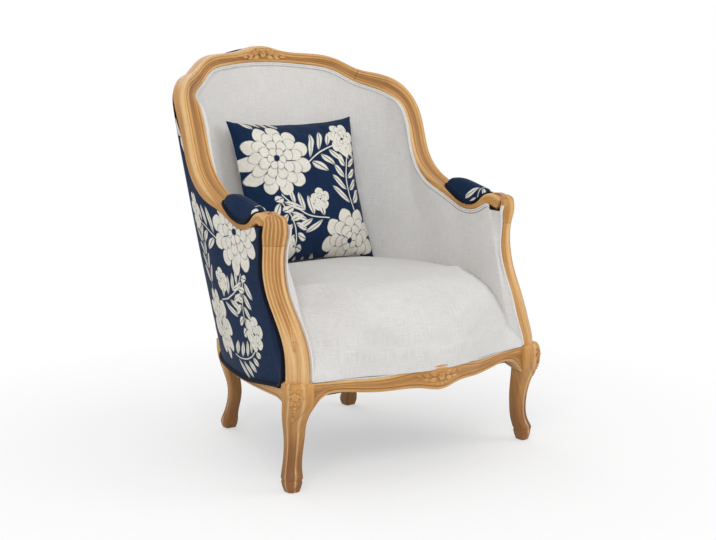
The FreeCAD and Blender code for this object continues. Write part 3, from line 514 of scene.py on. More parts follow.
def group_bloom():
    """Round blossom drawn in rings of petals, with fine lines between them."""
    tree, source = mask_group("bloom", "Petals")
    place = tree.split(source[0])
    radius = tree.times_plus(tree.noise(source[0], 3.0, 2.0), 0.10, tree.length(source[0]))
    radius = tree.minus(radius, 0.05)
    angle = tree.math("ARCTAN2", place[1], place[0])
    mask = 0.0
    for size, share, turn in ((0.95, 1.0, 0.0), (0.72, 1.0, 0.9), (0.5, 0.72, 0.3), (0.28, 0.5, 1.2)):
        petals = tree.math("ROUND", tree.times(source[1], share))
        wave = tree.math("COSINE", tree.times_plus(angle, tree.times(petals, 0.5), turn))
        wave = tree.math("POWER", tree.size(wave), 0.5)
        gap = tree.minus(tree.times(tree.times_plus(wave, 0.34, 0.66), size), radius)
        inside = tree.times(gap, 45.0, clamp=True)
        line = tree.times_plus(tree.times(tree.size(gap), 34.0, clamp=True), 0.5, 0.5)
        vein = tree.times(tree.minus(wave, 0.30), 6.0, clamp=True)
        if mask:
            drawn = tree.math("MINIMUM", line, tree.larger(vein, tree.minus(1.0, inside)))
            mask = tree.larger(tree.times(mask, drawn), tree.times(tree.times(inside, line), vein))
        else:
            mask = tree.times(inside, vein)
    heart = tree.times(tree.minus(radius, 0.07), 40.0, clamp=True)
    tree.tree.links.new(tree.times(mask, heart), tree.node("NodeGroupOutput").inputs[0])
    return tree.tree


def group_spray():
    """Leaf spray: a curved stem along +x from 0 to 1 with pairs of pointed leaves."""
    tree, source = mask_group("spray", "Leaves")
    x, height = tree.split(source[0])[:2]
    side = tree.size(tree.minus(height, tree.times(tree.math("SINE", tree.times(x, 3.1)), 0.12)))
    within = tree.times(tree.times(x, 60.0, clamp=True), tree.times(tree.minus(0.97, x), 60.0, clamp=True))
    stem = tree.times(tree.times(tree.minus(0.014, side), 120.0, clamp=True), within)
    cell = tree.times(tree.minus(x, tree.times(side, 0.75)), source[1])
    local = tree.size(tree.minus(tree.math("FRACT", cell), 0.5))
    index = tree.math("DIVIDE", tree.math("ADD", tree.math("FLOOR", cell), 0.5), source[1])
    along = tree.math("DIVIDE", tree.minus(side, 0.02), tree.times_plus(index, -0.2, 0.34))
    width = tree.times(tree.times(along, tree.minus(1.0, along)), 1.45)
    leaf_shape = tree.times(tree.minus(width, local), 12.0, clamp=True)
    rib = tree.times(tree.minus(local, 0.02), 30.0, clamp=True)
    valid = tree.times(tree.math("GREATER_THAN", index, 0.02), tree.math("LESS_THAN", index, 0.96))
    leaves = tree.times(tree.times(leaf_shape, rib), valid)
    tree.tree.links.new(tree.larger(leaves, stem), tree.node("NodeGroupOutput").inputs[0])
    return tree.tree


# Generic floral repeat, in metres: blooms (x, y, radius, turn, petals), sprays (x, y, length, turn, leaves)
TILE, WARP = (0.42, 0.50), 0.016
BLOOMS = [(0.118, 0.350, 0.105, 0.3, 11), (0.315, 0.120, 0.095, 1.1, 9), (0.340, 0.395, 0.052, 0.2, 7),
          (0.100, 0.110, 0.045, 0.8, 6), (0.225, 0.235, 0.032, 0.4, 5)]
SPRAYS = [(0.200, 0.330, 0.170, 0.25, 5), (0.100, 0.250, 0.150, -1.35, 5), (0.250, 0.185, 0.160, 2.65, 5),
          (0.335, 0.200, 0.170, 1.45, 5), (0.245, 0.050, 0.150, 2.95, 5), (0.030, 0.468, 0.120, -0.05, 4)]


def print_material(name, ground, motif, shift=(0.0, 0.0)):
    """Cotton printed with large pale flowers and leaf sprays in a half-drop repeat."""
    tree = Tree(name)
    place = tree.stretch(tree.attribute("cloth")["Vector"], (1, 1, 1), (shift[0], shift[1], 0))
    parts = tree.split(place)
    column = tree.math("FLOOR", tree.math("DIVIDE", parts[0], TILE[0]))
    drop = tree.times(tree.math("MODULO", tree.size(column), 2.0), TILE[1] / 2)
    u = tree.minus(parts[0], tree.times(column, TILE[0]))
    v = tree.math("WRAP", tree.math("ADD", parts[1], drop), TILE[1], 0.0)
    bent = [tree.noise(tree.stretch(place, (1, 1, 1), move), 9.0, 2.0) for move in ((0, 0, 0), (7, 3, 0))]
    warp = [tree.times_plus(noise, WARP, -WARP / 2) for noise in bent]
    local = tree.flat(tree.math("ADD", u, warp[0]), tree.math("ADD", v, warp[1]))
    mask = 0.0
    for group, rows in ((group_spray(), SPRAYS), (group_bloom(), BLOOMS)):
        for x, y, size, turn, count in rows:
            inputs = {"Vector": local, "Location": (x, y, 0), "Rotation": (0, 0, turn),
                      "Scale": (size, size, 1)}
            moved = tree.node("ShaderNodeMapping", inputs, vector_type="TEXTURE").outputs[0]
            drawn = tree.node("ShaderNodeGroup", node_tree=group)
            tree.tree.links.new(moved, drawn.inputs[0])
            drawn.inputs[1].default_value = count
            mask = tree.larger(mask, drawn.outputs[0])
    threads = weave(tree, place, 0.0011)
    tone_mask = tree.range(tree.noise(place, 260.0, 2.0), 0.3, 0.44, 0.0, 1.0)
    mask = tree.times(mask, tree.times_plus(tone_mask, 0.25, 0.75))
    pale = tree.mix(tree.noise(place, 40.0, 3.0), motif, rgb(214, 209, 196))
    dark = tree.mix(tree.range(threads, 0.4, 0.6), ground, rgb(19, 43, 76))
    bump = tree.bump(tree.times_plus(mask, 0.6, threads), 0.4, 0.0006)
    return tree.finish(tree.mix(mask, dark, pale), tree.range(threads, 0.35, 0.65, 0.9, 0.75), bump,
                       Sheen_Weight=0.04, Specular_IOR_Level=0.12)


def cloth_material(name, light, dark, pitch, sheen=0.1):
    """Plain woven or felted cloth."""
    tree = Tree(name)
    tone = weave(tree, faced(tree), pitch)
    colour = tree.ramp(tone, (0.36, dark), (0.62, light))
    return tree.finish(colour, tree.range(tone, 0.3, 0.7, 0.95, 0.8), tree.bump(tone, 0.7, pitch * 0.6),
                       Sheen_Weight=sheen, Specular_IOR_Level=0.15)


def metal_material(name, colour, dark):
    tree = Tree(name)
    streaks = tree.noise(tree.stretch(tree.position(), (300, 300, 40)), 1.0, 3.0)
    tone = tree.mix(tree.range(streaks, 0.35, 0.7), colour, dark)
    bump = tree.bump(streaks, 0.2, 0.0002)
    return tree.finish(tone, tree.range(streaks, 0.3, 0.7, 0.28, 0.5), bump, Metallic=1.0)


OAK = wood_material("show_oak", rgb(222, 176, 112), rgb(202, 150, 86), rgb(164, 108, 54))
BEECH = wood_material("frame_beech", rgb(214, 186, 142), rgb(198, 164, 118), rgb(172, 136, 92), shaped=False)
OAK_PLAIN = wood_material("plain_oak", rgb(222, 178, 118), rgb(202, 152, 92), rgb(170, 118, 64), shaped=False)
LINEN = linen_material("linen", rgb(222, 221, 219), rgb(214, 212, 210), rgb(198, 195, 191), 0.0012)
LINEN_PALE = linen_material("linen_welt", rgb(232, 230, 227), rgb(222, 220, 216), rgb(198, 195, 190), 0.0011)
NIGHT, IVORY = rgb(12, 31, 58), rgb(234, 231, 221)
PRINT = print_material("printed_cotton", NIGHT, IVORY)
PILLOW_PRINT = print_material("printed_cotton_pillow", NIGHT, IVORY, (0.005, 0.02))
NAVY = cloth_material("navy_cord", rgb(15, 20, 36), rgb(6, 9, 20), 0.0012, 0.03)
BLACK = cloth_material("dust_cloth", rgb(52, 52, 54), rgb(30, 30, 32), 0.002)
JUTE = cloth_material("jute", rgb(196, 164, 116), rgb(132, 102, 64), 0.003)
STEEL = metal_material("spring_steel", rgb(150, 148, 144), rgb(96, 94, 92))
NICKEL = metal_material("glide_steel", rgb(186, 184, 180), rgb(136, 134, 130))


# Show wood

def moulding(out, face, deep):
    """Depth of the moulded rail face, and its wear and painted shade (low in the cuts, high on the edges), by
    distance from its inner edge.
    """
    shallow = np.clip(deep / 30, 0.35, 1)
    depth = rounded(out, 4.5 * shallow) + rounded(face - out, 8.0 * shallow)
    cut = 2.6 * peak(out, 8.5, 1.3) + 2.4 * peak(out, face - 14.5, 1.3) + 1.4 * peak(out, face - 7.5, 1.0)
    middle = np.clip((out - 9.5) / np.maximum(face - 25.5, 1), 0, 1)
    cut = cut + 2.6 * np.sin(np.pi * middle) ** 1.2
    cut = cut + np.where(face > 46, 1.2 * peak(out, face * 0.45 + 3, 1.1), 0)
    return depth + cut * shallow, 1.0 - 0.28 * cut + 0.25 * peak(out, 0, 2.5) + 0.2 * peak(out, face, 4)


def section(ring, place, across, down, wear):
    """Ring with its wood coordinates, from its place along the piece and its flat shape."""
    around = chords(np.stack([across, down], 1))
    return ring, grain_of(np.full(len(ring), place), around), wear


def rail_sections(start, end, step=3.0):
    at = np.linspace(start, end, max(4, int(abs(end - start) / step)))
    made = []
    for place, centre, normal, across, face, deep in zip(at, *rail(at)):
        fine = np.linspace(0, 1, 46) * face
        # The second value is wear and painted shade: the cuts of the moulding are darkened as shade, the edges
        # paler as rubbed wear
        depth, tone_mask = moulding(fine, face, deep)
        corner = min(4.0, 0.2 * deep)
        soft = corner * 0.3
        side = np.linspace(0.25, 1, 4)
        outer = depth[-1] + (deep - corner - depth[-1]) * side
        inner = depth[0] + (deep - corner - depth[0]) * side[::-1]
        back = [face - soft, face - corner, corner, soft]
        out = np.concatenate([fine, np.full(4, face), back, np.zeros(4)])
        down = np.concatenate([depth, outer, [deep - soft, deep, deep, deep - soft], inner])
        ring = centre + across * (out - face / 2)[:, None] - normal * down[:, None]
        made.append(section(ring, place, out, down, np.concatenate([tone_mask, np.full(12, 0.8)])))
    return made


def post_section(row):
    """Level section of the arm post, its face cut with five flutes."""
    half, back = row[3] / 2, -row[4] / 2
    place = np.linspace(-1, 1, 56)
    share = np.clip((place + 0.86) / 1.72, 0, 1)
    cut = 1.6 * smooth_step(row[2], 330, 420) * (0.5 - 0.5 * np.cos(10 * np.pi * share)) ** 0.7
    edge = min(7.0, row[4] * 0.3, row[3] * 0.3)
    front = -back - cut - rounded((1 - np.abs(place)) * half, edge)
    rear = [half - 2, half - 5, 0, 5 - half, 2 - half]
    out = np.concatenate([place * half, [half] * 3, rear, [-half] * 3])
    side = front[-1] + (4 + back - front[-1]) * np.array([0.3, 0.7, 1.0])
    down = np.concatenate([front, side, [1.2 + back, back, back, back, 1.2 + back], side[::-1]])
    ring = row[:3] + out[:, None] * POST_ACROSS + down[:, None] * POST_LOOK
    # Flutes get a lower wear value, so they are darkened as painted shade
    return section(ring, row[2], out, down, np.concatenate([1.12 - 0.42 * cut, np.full(11, 0.85)]))


def post_sections(low, high, step=3.0):
    rises = np.linspace(low, high, max(4, int((high - low) / step)))
    return [post_section(row) for row in spline(POST[:, 2], POST, rises)]


def leg_section(row, flutes, groove, chamfer, way):
    """Rounded square section; the corner that faces way is cut flat and fluted."""
    x, y, z, side = row
    half = side / 2
    angle = np.linspace(0, 2 * np.pi, 64, endpoint=False) + way
    radius = half / (np.abs(np.cos(angle)) ** 7 + np.abs(np.sin(angle)) ** 7) ** (1 / 7)
    off = (angle - way + np.pi) % (2 * np.pi) - np.pi
    flat = half * chamfer / np.maximum(np.cos(off), 0.2)
    soft = 1 / (1 / radius ** 14 + 1 / flat ** 14) ** (1 / 14)
    radius = np.where(np.abs(off) < 1.0, soft, radius)
    reach = 0.52
    share = np.clip((off + reach) / (2 * reach), 0, 1)
    cut = groove * (0.5 - 0.5 * np.cos(2 * np.pi * flutes * share)) * (np.abs(off) < reach)
    radius = radius - cut
    ring = np.stack([x + radius * np.cos(angle), y + radius * np.sin(angle), np.full_like(angle, z)], 1)
    # Wear and painted shade: flutes are darkened as shade, the arrises of the flat corner paler as rubbed wear
    tone_mask = 0.85 - 0.4 * cut + 0.3 * peak(np.abs(off), 0.66, 0.12)
    return ring, grain_of(np.full(64, z), (angle - way) * half), tone_mask


def leg(table, front):
    rises = np.concatenate([np.linspace(table[0, 2], 40, 26), np.linspace(42, table[-1, 2], 64)])
    made = []
    for row in spline(table[:, 2], table, rises):
        z = row[2]
        if front:
            row[3] += 3.4 * peak(z, 250, 3.4) - 3.6 * peak(z, 28, 2.2)
            groove = 1.9 * (1 - smooth_step(z, 90, 160)) * smooth_step(z, 24, 36)
            made.append(leg_section(row, 4, groove, 1.14 - 0.12 * (z < 26), -DIAGONAL))
        else:
            made.append(leg_section(row, 2, 0.4, 1.2, DIAGONAL))
    return Parts().sweep(made)


def leaf(parts, place, at, turn, length, width, height, curl=0.0):
    """Raised leaf on a surface; place maps across, up and height off the surface to a point."""
    t = np.linspace(0, 1, 12)[:, None]
    j = np.linspace(-1, 1, 9)[None, :]
    half = width / 2 * np.sin(np.pi * t ** 0.75) ** 0.8
    along = length * t
    side = half * j + curl * t ** 2
    dome = np.sqrt(np.clip(1 - j ** 2, 0, 1)) * np.sin(np.pi * np.clip(t * 0.9 + 0.08, 0, 1)) ** 0.6
    groove = 0.45 * peak(j, 0, 0.22)
    rise = height * (dome * (1 - groove)) - 0.6
    a = at[0] + along * math.cos(turn) - side * math.sin(turn)
    b = at[1] + along * math.sin(turn) + side * math.cos(turn)
    grid = place(a + 0 * j, b + 0 * j, rise + 0 * t)
    grain = grain_of(a + 0 * j, b + 0 * j)
    # The leaf's low parts, where it meets the ground it is carved from, get painted shade; its raised middle
    # gets rubbed wear
    parts.add(grid, grain=grain, wear=0.35 + 0.75 * (rise + 0.6) / height + 0 * t)


def berry(parts, place, at, size, height):
    turn = np.linspace(0, 2 * np.pi, 16)[None, :]
    ring = np.linspace(0, 1, 7)[:, None]
    a = at[0] + size * ring * np.cos(turn)
    b = at[1] + size * ring * np.sin(turn)
    rise = height * np.sqrt(np.clip(1 - ring ** 2, 0, 1)) + 0 * turn - 0.4
    # The berry's foot gets painted shade, its raised top rubbed wear
    parts.add(place(a, b, rise), flip=True, grain=grain_of(a, b), wear=0.45 + 0.6 * (rise + 0.4) / height)


def flower(parts, place, at, size, height, petals=6, turn=0.0):
    for number in range(petals):
        angle = turn + 2 * math.pi * number / petals
        leaf(parts, place, (at[0] + 0.12 * size * math.cos(angle), at[1] + 0.12 * size * math.sin(angle)),
             angle, size, size * 0.85, height)
    berry(parts, place, at, size * 0.3, height * 1.15)


def build_wood():
    neck, root = RAIL_AT["neck"], RAIL_AT["arm_root"]
    crest = Parts().sweep(rail_sections(-neck + 0.15, neck - 0.15))
    crest.make("crest_wood", OAK, slot="show_wood", replaces=["crest_rail"])
    arm = Parts().sweep(rail_sections(root + 0.15, RAIL_AT["knuckle_tip"], 2.5))
    for name, node, parts in (
            ("wing_wood", "wing_rail", Parts().sweep(rail_sections(neck + 0.15, root - 0.15))),
            ("arm_wood", "arm", arm.sweep(post_sections(556.3, 626, 1.8), 0.18)),
            ("post_wood", "arm_post", Parts().sweep(post_sections(254, 555.7))),
            ("front_leg_wood", "front_leg", leg(FRONT_LEG, True)),
            ("rear_leg_wood", "rear_leg", leg(REAR_LEG, False))):
        pair(parts, name, OAK, [node], slot="show_wood")


def apron_rows(x):
    rows = both(APRON, [0])
    return spline(rows[:, 0], rows, x)


def build_apron():
    share = np.linspace(0, 1, 40)
    made = []
    for x, front, top, bottom in apron_rows(np.linspace(-322, 322, 260)):
        tall = top - bottom
        down = share * tall
        cut = 2.0 * peak(down, 8, 1.3) + 2.4 * peak(down, tall - 8.5, 1.3)
        middle = np.clip((down - 9) / max(tall - 18.5, 1), 0, 1)
        cut = cut + 1.6 * np.sin(np.pi * middle) ** 1.3
        back = front + np.array([20, 36, 36, 18, 14, 14, 10])
        y = np.concatenate([front + rounded(np.minimum(down, tall - down), 5.0) + cut, back])
        z = np.concatenate([top - down, [bottom, bottom, RAIL_TOP, RAIL_TOP, RAIL_TOP, top - 1, top]])
        edges = 0.22 * peak(down, 0, 3) + 0.3 * peak(down, tall, 3)
        # Wear and painted shade: the beads are darkened as shade, the top and bottom edges paler as rubbed
        # wear
        wear = np.concatenate([0.92 - 0.3 * cut + edges, np.full(7, 0.7)])
        made.append(section(np.stack([np.full_like(y, x), y, z], 1), x, y, z, wear))
    Parts().sweep(made).make("apron_wood", OAK, slot="show_wood", replaces=["front_rail"])


def build_side_rails():
    """Side rails, whose lower edge sweeps down into the legs."""
    run = np.linspace(262, OUTLINE_KNOTS[-1] - 4, 120)
    share = np.linspace(0, 1, 24)
    made = []
    for place, point, out in zip(run, *outline(run)):
        low = 206 - 16 * smooth_step(-point[1], 235, 300) - 10 * smooth_step(point[1], 120, 180)
        tall = RAIL_TOP - low
        up = share * tall
        cut = 1.8 * peak(up, 7.5, 1.3)
        inward = np.concatenate([rounded(np.minimum(up, tall - up), 4.0) + cut, [32, 32]])
        z = np.concatenate([low + up, [RAIL_TOP, low]])
        ring = point - out * inward[:, None]
        ring[:, 2] = z
        # Wear and painted shade: the bead is darkened as shade, the lower edge paler as rubbed wear
        wear = np.concatenate([0.9 - 0.3 * cut + 0.3 * peak(up, 0, 3), [0.7, 0.7]])
        made.append(section(ring, place, inward, z, wear))
    pair(Parts().sweep(made), "side_rail_wood", OAK, ["side_rail"], slot="show_wood")


def on_rail(a, b, height):
    """Point over the crest's face: a along it, b outward from its middle."""
    centre, normal, across = rail(a.ravel())[:3]
    points = centre + across * b.reshape(-1, 1) + normal * height.reshape(-1, 1)
    return points.reshape(a.shape + (3,))


def on_apron(a, b, height):
    rows = apron_rows(a.ravel())
    middle = (rows[:, 2] + rows[:, 3]) / 2
    points = np.stack([a.ravel(), rows[:, 1] + 1.2 - height.ravel(), middle + b.ravel()], 1)
    return points.reshape(a.shape + (3,))


def on_corner(table, column, share, a, z, height):
    """Over the face of a post or a leg's corner: a across it, z up; column is its thickness."""
    rows = spline(table[:, 2], table, z.ravel())
    base = np.stack([rows[:, 0], rows[:, 1], z.ravel()], 1)
    off = rows[:, column, None] * share + height.reshape(-1, 1) - 0.012 * a.reshape(-1, 1) ** 2
    return (base + POST_LOOK * off + POST_ACROSS * a.reshape(-1, 1)).reshape(a.shape + (3,))


def on_knee(a, b, height):
    """Over the flat outer corner of the knee: a across it, b up from z 206."""
    return on_corner(FRONT_LEG, 3, 0.57, a, 206 + b, height - 0.6)


def on_post(a, b, height):
    return on_corner(POST, 4, 0.5, a, b, height - 1.0)


def on_knuckle(a, b, height):
    """Over the top of the arm's end: a across the arm, b forward along it."""
    at = RAIL_AT["knuckle_back"] + b.ravel()
    centre, normal, across = rail(at)[:3]
    off = height.reshape(-1, 1) - 0.6 - 0.01 * a.reshape(-1, 1) ** 2
    return (centre + across * a.reshape(-1, 1) + normal * off).reshape(a.shape + (3,))


# Leaves on one side of each carving: across, up, turn, length, width
CREST_LEAVES = [(13, 3, 0.10, 27, 15.4), (12, -5, -0.35, 26, 13.2), (30, 0, 0.05, 24, 13.2),
                (34, -5, -0.25, 20, 9.9), (50, -1, 0.0, 24, 9.9), (9, 7, 0.45, 17, 9.9)]
APRON_LEAVES = [(12, 4, 0.25, 26, 13), (13, -3, -0.35, 25, 12), (30, 3, 0.15, 26, 11),
                (33, -4, -0.25, 22, 9), (52, 4, 0.1, 22, 8), (7, -11, -0.85, 16, 9)]
KNEE_LEAVES = [(4, 16, -1.0, 18, 9), (5, 32, 0.9, 13, 8), (9, 24, 0.1, 12, 8)]


def leaf_pairs(parts, place, leaves, height, curl):
    for side in (-1, 1):
        for a, b, turn, length, width in leaves:
            angle = turn if side > 0 else math.pi - turn
            leaf(parts, place, (side * a, b), angle, length, width, height, curl=curl * side)


def build_carving():
    crest = Parts()
    flower(crest, on_rail, (0, 0), 10, 4.0, 7, 0.4)
    leaf_pairs(crest, on_rail, CREST_LEAVES, 3.2, 3.0)
    crest.make("crest_carving", OAK, slot="show_wood")

    apron = Parts()
    flower(apron, on_apron, (0, 1), 10.5, 4.2, 6, 0.2)
    berry(apron, on_apron, (0, -16), 4.5, 3.0)
    leaf_pairs(apron, on_apron, APRON_LEAVES, 3.8, 3.0)
    apron.make("apron_carving", OAK, slot="show_wood")

    knee = Parts()
    flower(knee, on_knee, (0, 24), 11, 4.0, 5, math.pi / 2)
    leaf_pairs(knee, on_knee, KNEE_LEAVES, 3.2, -3.0)
    for rise, size in ((8, 4.4), (-1, 3.9), (-9, 3.3), (-16, 2.8)):
        berry(knee, on_knee, (0, rise), size, 2.6)
    leaf(knee, on_knee, (0, -20), -math.pi / 2, 22, 9, 2.4)
    pair(knee, "knee_carving", OAK, slot="show_wood")

    knuckle = Parts()
    for turn, length, width in ((1.57, 34, 13), (1.1, 30, 12), (2.04, 30, 12), (0.6, 24, 11), (2.54, 24, 11)):
        leaf(knuckle, on_knuckle, (0, 2), turn, length, width, 3.0)
    pair(knuckle, "knuckle_carving", OAK, slot="show_wood")

    post = Parts()
    leaf(post, on_post, (-10, 392), -1.45, 78, 13, 3.4, curl=4.0)
    leaf(post, on_post, (-16, 372), -1.7, 46, 8, 2.6, curl=-3.0)
    berry(post, on_post, (-12, 398), 4.2, 3.0)
    pair(post, "post_carving", OAK, slot="show_wood")


# Upholstered wall

def tuck(name):
    """Where the wall's lining meets the rail, under the crest and behind the wings and arms."""
    past_ear = RAIL_NAMES.index(name) - RAIL_NAMES.index("ear")
    out = -5.0 if past_ear < 2 else 28.0
    return rail_point(name, out, 31.0 if past_ear < 1 else RAIL[name][4] + 5.0)


def wall_stations():
    feet, heads, outs, tops, edges = [], [], [], [], []
    for name in WALL:
        point, out = outline(RAIL[name][6])
        feet.append(point[0] - out[0] * 30 + np.array([0, 0, 254.6]))
        heads.append(tuck(name))
        outs.append(out[0])
        face, deep = RAIL[name][3:5]
        tops.append(rail_point(name, face - 5, deep + 1))
        edges.append(point[0] + out[0] * 0.3 + np.array([0, 0, 222.0]))
    rows = np.hstack([np.array(part) for part in (feet, heads, outs, tops, edges)])
    rows = both(rows, [0, 3, 6, 9, 12])
    knots = np.array([RAIL_AT[name] for name in WALL])
    return np.concatenate([-knots[:0:-1], knots]), rows


WALL_KNOTS, WALL_ROWS = wall_stations()


def wall_columns(count):
    """Places along the wall, its rows there and the outward directions."""
    at = np.linspace(WALL_KNOTS[0], WALL_KNOTS[-1], count)
    rows = spline(WALL_KNOTS, WALL_ROWS, at)[:, None, :]
    return at, rows, unit(rows[:, :, 6:9])


def welt_line(at, gap, sunk):
    """Line beside the rail's inner edge, which goes under it along the arm."""
    centre, normal, across, face, deep = rail(at)
    tilt = np.interp(at, RAIL_KNOTS, RAIL_ROWS[:, 5])
    under = np.clip(tilt - 5, 0, 85)[:, None] / 85
    out = -gap + (gap + 1.5) * under
    depth = sunk + (deep[:, None] + gap - 3.0) * under
    return centre + across * (out - face[:, None] / 2) - normal * depth


def post_line(rises, out, back):
    """Line up the arm post; out goes past its outer edge, or its inner one if negative."""
    rows = spline(POST[:, 2], POST, np.clip(rises, 250, 600))
    side = POST_ACROSS * np.sign(out) * (rows[:, 3:4] / 2 + abs(out))
    line = rows[:, :3] + side - POST_LOOK * (rows[:, 4:5] / 2 + back)
    line[:, 2] = rises
    return line


def with_ends(grid, out, back, columns=14):
    """Carries a wall's grid on from its last columns to a line on each arm post."""
    last = grid[-1]
    target = post_line(last[:, 2], out, back)
    share = np.linspace(0, 1, columns + 1)[1:, None, None]
    more = last[None] * (1 - share) + target[None] * share
    return np.concatenate([more[::-1] * MIRROR, grid, more])


def build_inside():
    at, rows, out = wall_columns(260)
    foot, head = rows[:, :, 0:3], rows[:, :, 3:6]
    share = np.linspace(0, 1, 90)
    up = share[None, :, None]
    grid = foot + (head - foot) * up - out * (26.6 + 24 * up * (1 - up))
    ease = 0.5 * wobble(at[:, None] / 70, grid[:, :, 2] / 90) * np.sin(np.pi * share)[None, :] ** 0.5
    near_edge = smooth_step(share, 0.86, 1.0)[None, :]
    pull = 0.35 * np.sin(at[:, None] / 9.0) * near_edge
    grid = grid - out * (0.6 + ease + pull)[:, :, None]
    edge = welt_line(at, 9.0, 5.5)[:, None, :]
    roll = smooth_step(share, 0.72, 1.0)[None, :, None]
    grid = grid * (1 - roll) + edge * roll
    parts = Parts()
    parts.add(with_ends(grid, -2.5, -4.5))
    piece = parts.make("inside_linen", LINEN, slot="linen", replaces=["inside_cover", "back_foam"])


def foot_lift(y):
    """How far the outside cover's lower edge rises towards the arm posts."""
    return FOOT_LIFT * smooth_step(-y, 60, 290)


def build_outside():
    at, rows, out = wall_columns(280)
    top, foot = rows[:, :, 9:12], rows[:, :, 12:15].copy()
    foot[:, :, 2] += foot_lift(foot[:, :, 1])
    share = np.linspace(0, 1, 100)[None, :, None]
    swell = 6.0 * (4 * share * (1 - share)) ** 0.8
    grid = foot + (top - foot) * share + out * (swell + 2.0)
    grid = grid + out * (0.4 * wobble(at[:, None] / 80, grid[:, :, 2] / 100))[:, :, None]
    crown = peak(at[:, None], 0, 90) * smooth_step(share[:, :, 0], 0.86, 0.97)
    grid = grid + out * (7.0 * crown)[:, :, None]
    grid = with_ends(grid[6:-6], 3.0, -14.0)
    along = chords(grid[:, 45])
    along = along - along[-1] / 2
    up = lengths(grid)
    cloth = np.stack([np.broadcast_to(along[:, None], up.shape) * MM, up * MM, 0 * up], 2)
    parts = Parts()
    parts.add(grid, flip=True, cloth=cloth)
    piece = parts.make("outside_print", PRINT, slot="printed_cotton", replaces=["outside_cover"])
    cells = np.cross(grid[1:, :-1] - grid[:-1, :-1], grid[:-1, 1:] - grid[:-1, :-1])
    area = float(np.linalg.norm(cells, axis=2).sum()) * MM * MM
    flat = (float(along[-1] - along[0]) * MM * 1.12, float(up.max()) * MM)
    return flat, area


def add_cord(parts, points, radius, look):
    """Round cord along points; look is any direction that is never along it."""
    along = unit(np.gradient(points, axis=0))
    first = unit(np.cross(along, look))
    second = np.cross(first, along)
    turn = np.linspace(0, 2 * np.pi, 12, endpoint=False)[None, :, None]
    off = np.cos(turn) * first[:, None, :] + np.sin(turn) * second[:, None, :]
    parts.add(points[:, None, :] + radius * off, closed=True, caps=True)


def add_post_cords(parts, points, radius):
    """Cord up one arm post, and its mirror image."""
    for flip in SIDES:
        add_cord(parts, points * flip, radius, np.array([0.7, -0.7, 0.0]) * flip)


def build_welts():
    at = np.linspace(-RAIL_AT["knuckle_back"] - 16, RAIL_AT["knuckle_back"] + 16, 700)
    normal, across = rail(at)[1:3]
    parts = Parts()
    for gap, sunk in ((2.6, 3.0), (7.0, 3.8)):
        add_cord(parts, welt_line(at, gap, sunk), WELT, normal + 0.3 * across)
    parts.make("inside_double_welt", LINEN_PALE, slot="linen_welt", replaces=["inside_welt"])

    parts = Parts()
    x = np.linspace(-319, 319, 420)
    rows = apron_rows(x)
    for back, up in ((-1.2, 2.0), (1.8, 6.2)):
        points = np.stack([x, rows[:, 1] + 4 + back, rows[:, 2] + up], 1)
        add_cord(parts, points, WELT, [0.0, 0.3, 1.0])
    for out, back in ((-1.6, -3.0), (-5.6, -6.4)):
        add_post_cords(parts, post_line(np.linspace(258, 602, 150), out, back), WELT)
    parts.make("seat_double_welt", LINEN_PALE, slot="linen_welt", replaces=["seat_welt"])


def build_piping():
    parts = Parts()
    run = np.linspace(-OUTLINE_KNOTS[-1] + 30, OUTLINE_KNOTS[-1] - 30, 420)
    point, out = outline(run)
    points = point + out * (CORD + 0.3)
    points[:, 2] = CORD_RISE + foot_lift(point[:, 1])
    add_cord(parts, points, CORD, [0.0, 0.0, 1.0])
    rises = np.linspace(238, 600, 190)
    points = post_line(rises, 7.0, -20.0)
    corner = outline(np.array([OUTLINE_KNOTS[-1] - 36]))[0][0] + np.array([3.8, 0, CORD_RISE + FOOT_LIFT])
    bend = smooth_step(rises, 237, 272)[:, None]
    points = points * bend + (corner + (points - points[0]) * 0.2) * (1 - bend)
    add_post_cords(parts, points, CORD)
    parts.make("outside_cord", NAVY, slot="navy_piping", replaces=["outside_piping"])


# Arm pads

PAD = [("arm_root", 0.70, 0.34), ("arm_back", 0.97, 0.94), ("arm_dip", 1.0, 1.04), ("arm_rise", 0.92, 0.68),
       ("knuckle_back", 0.60, 0.18)]


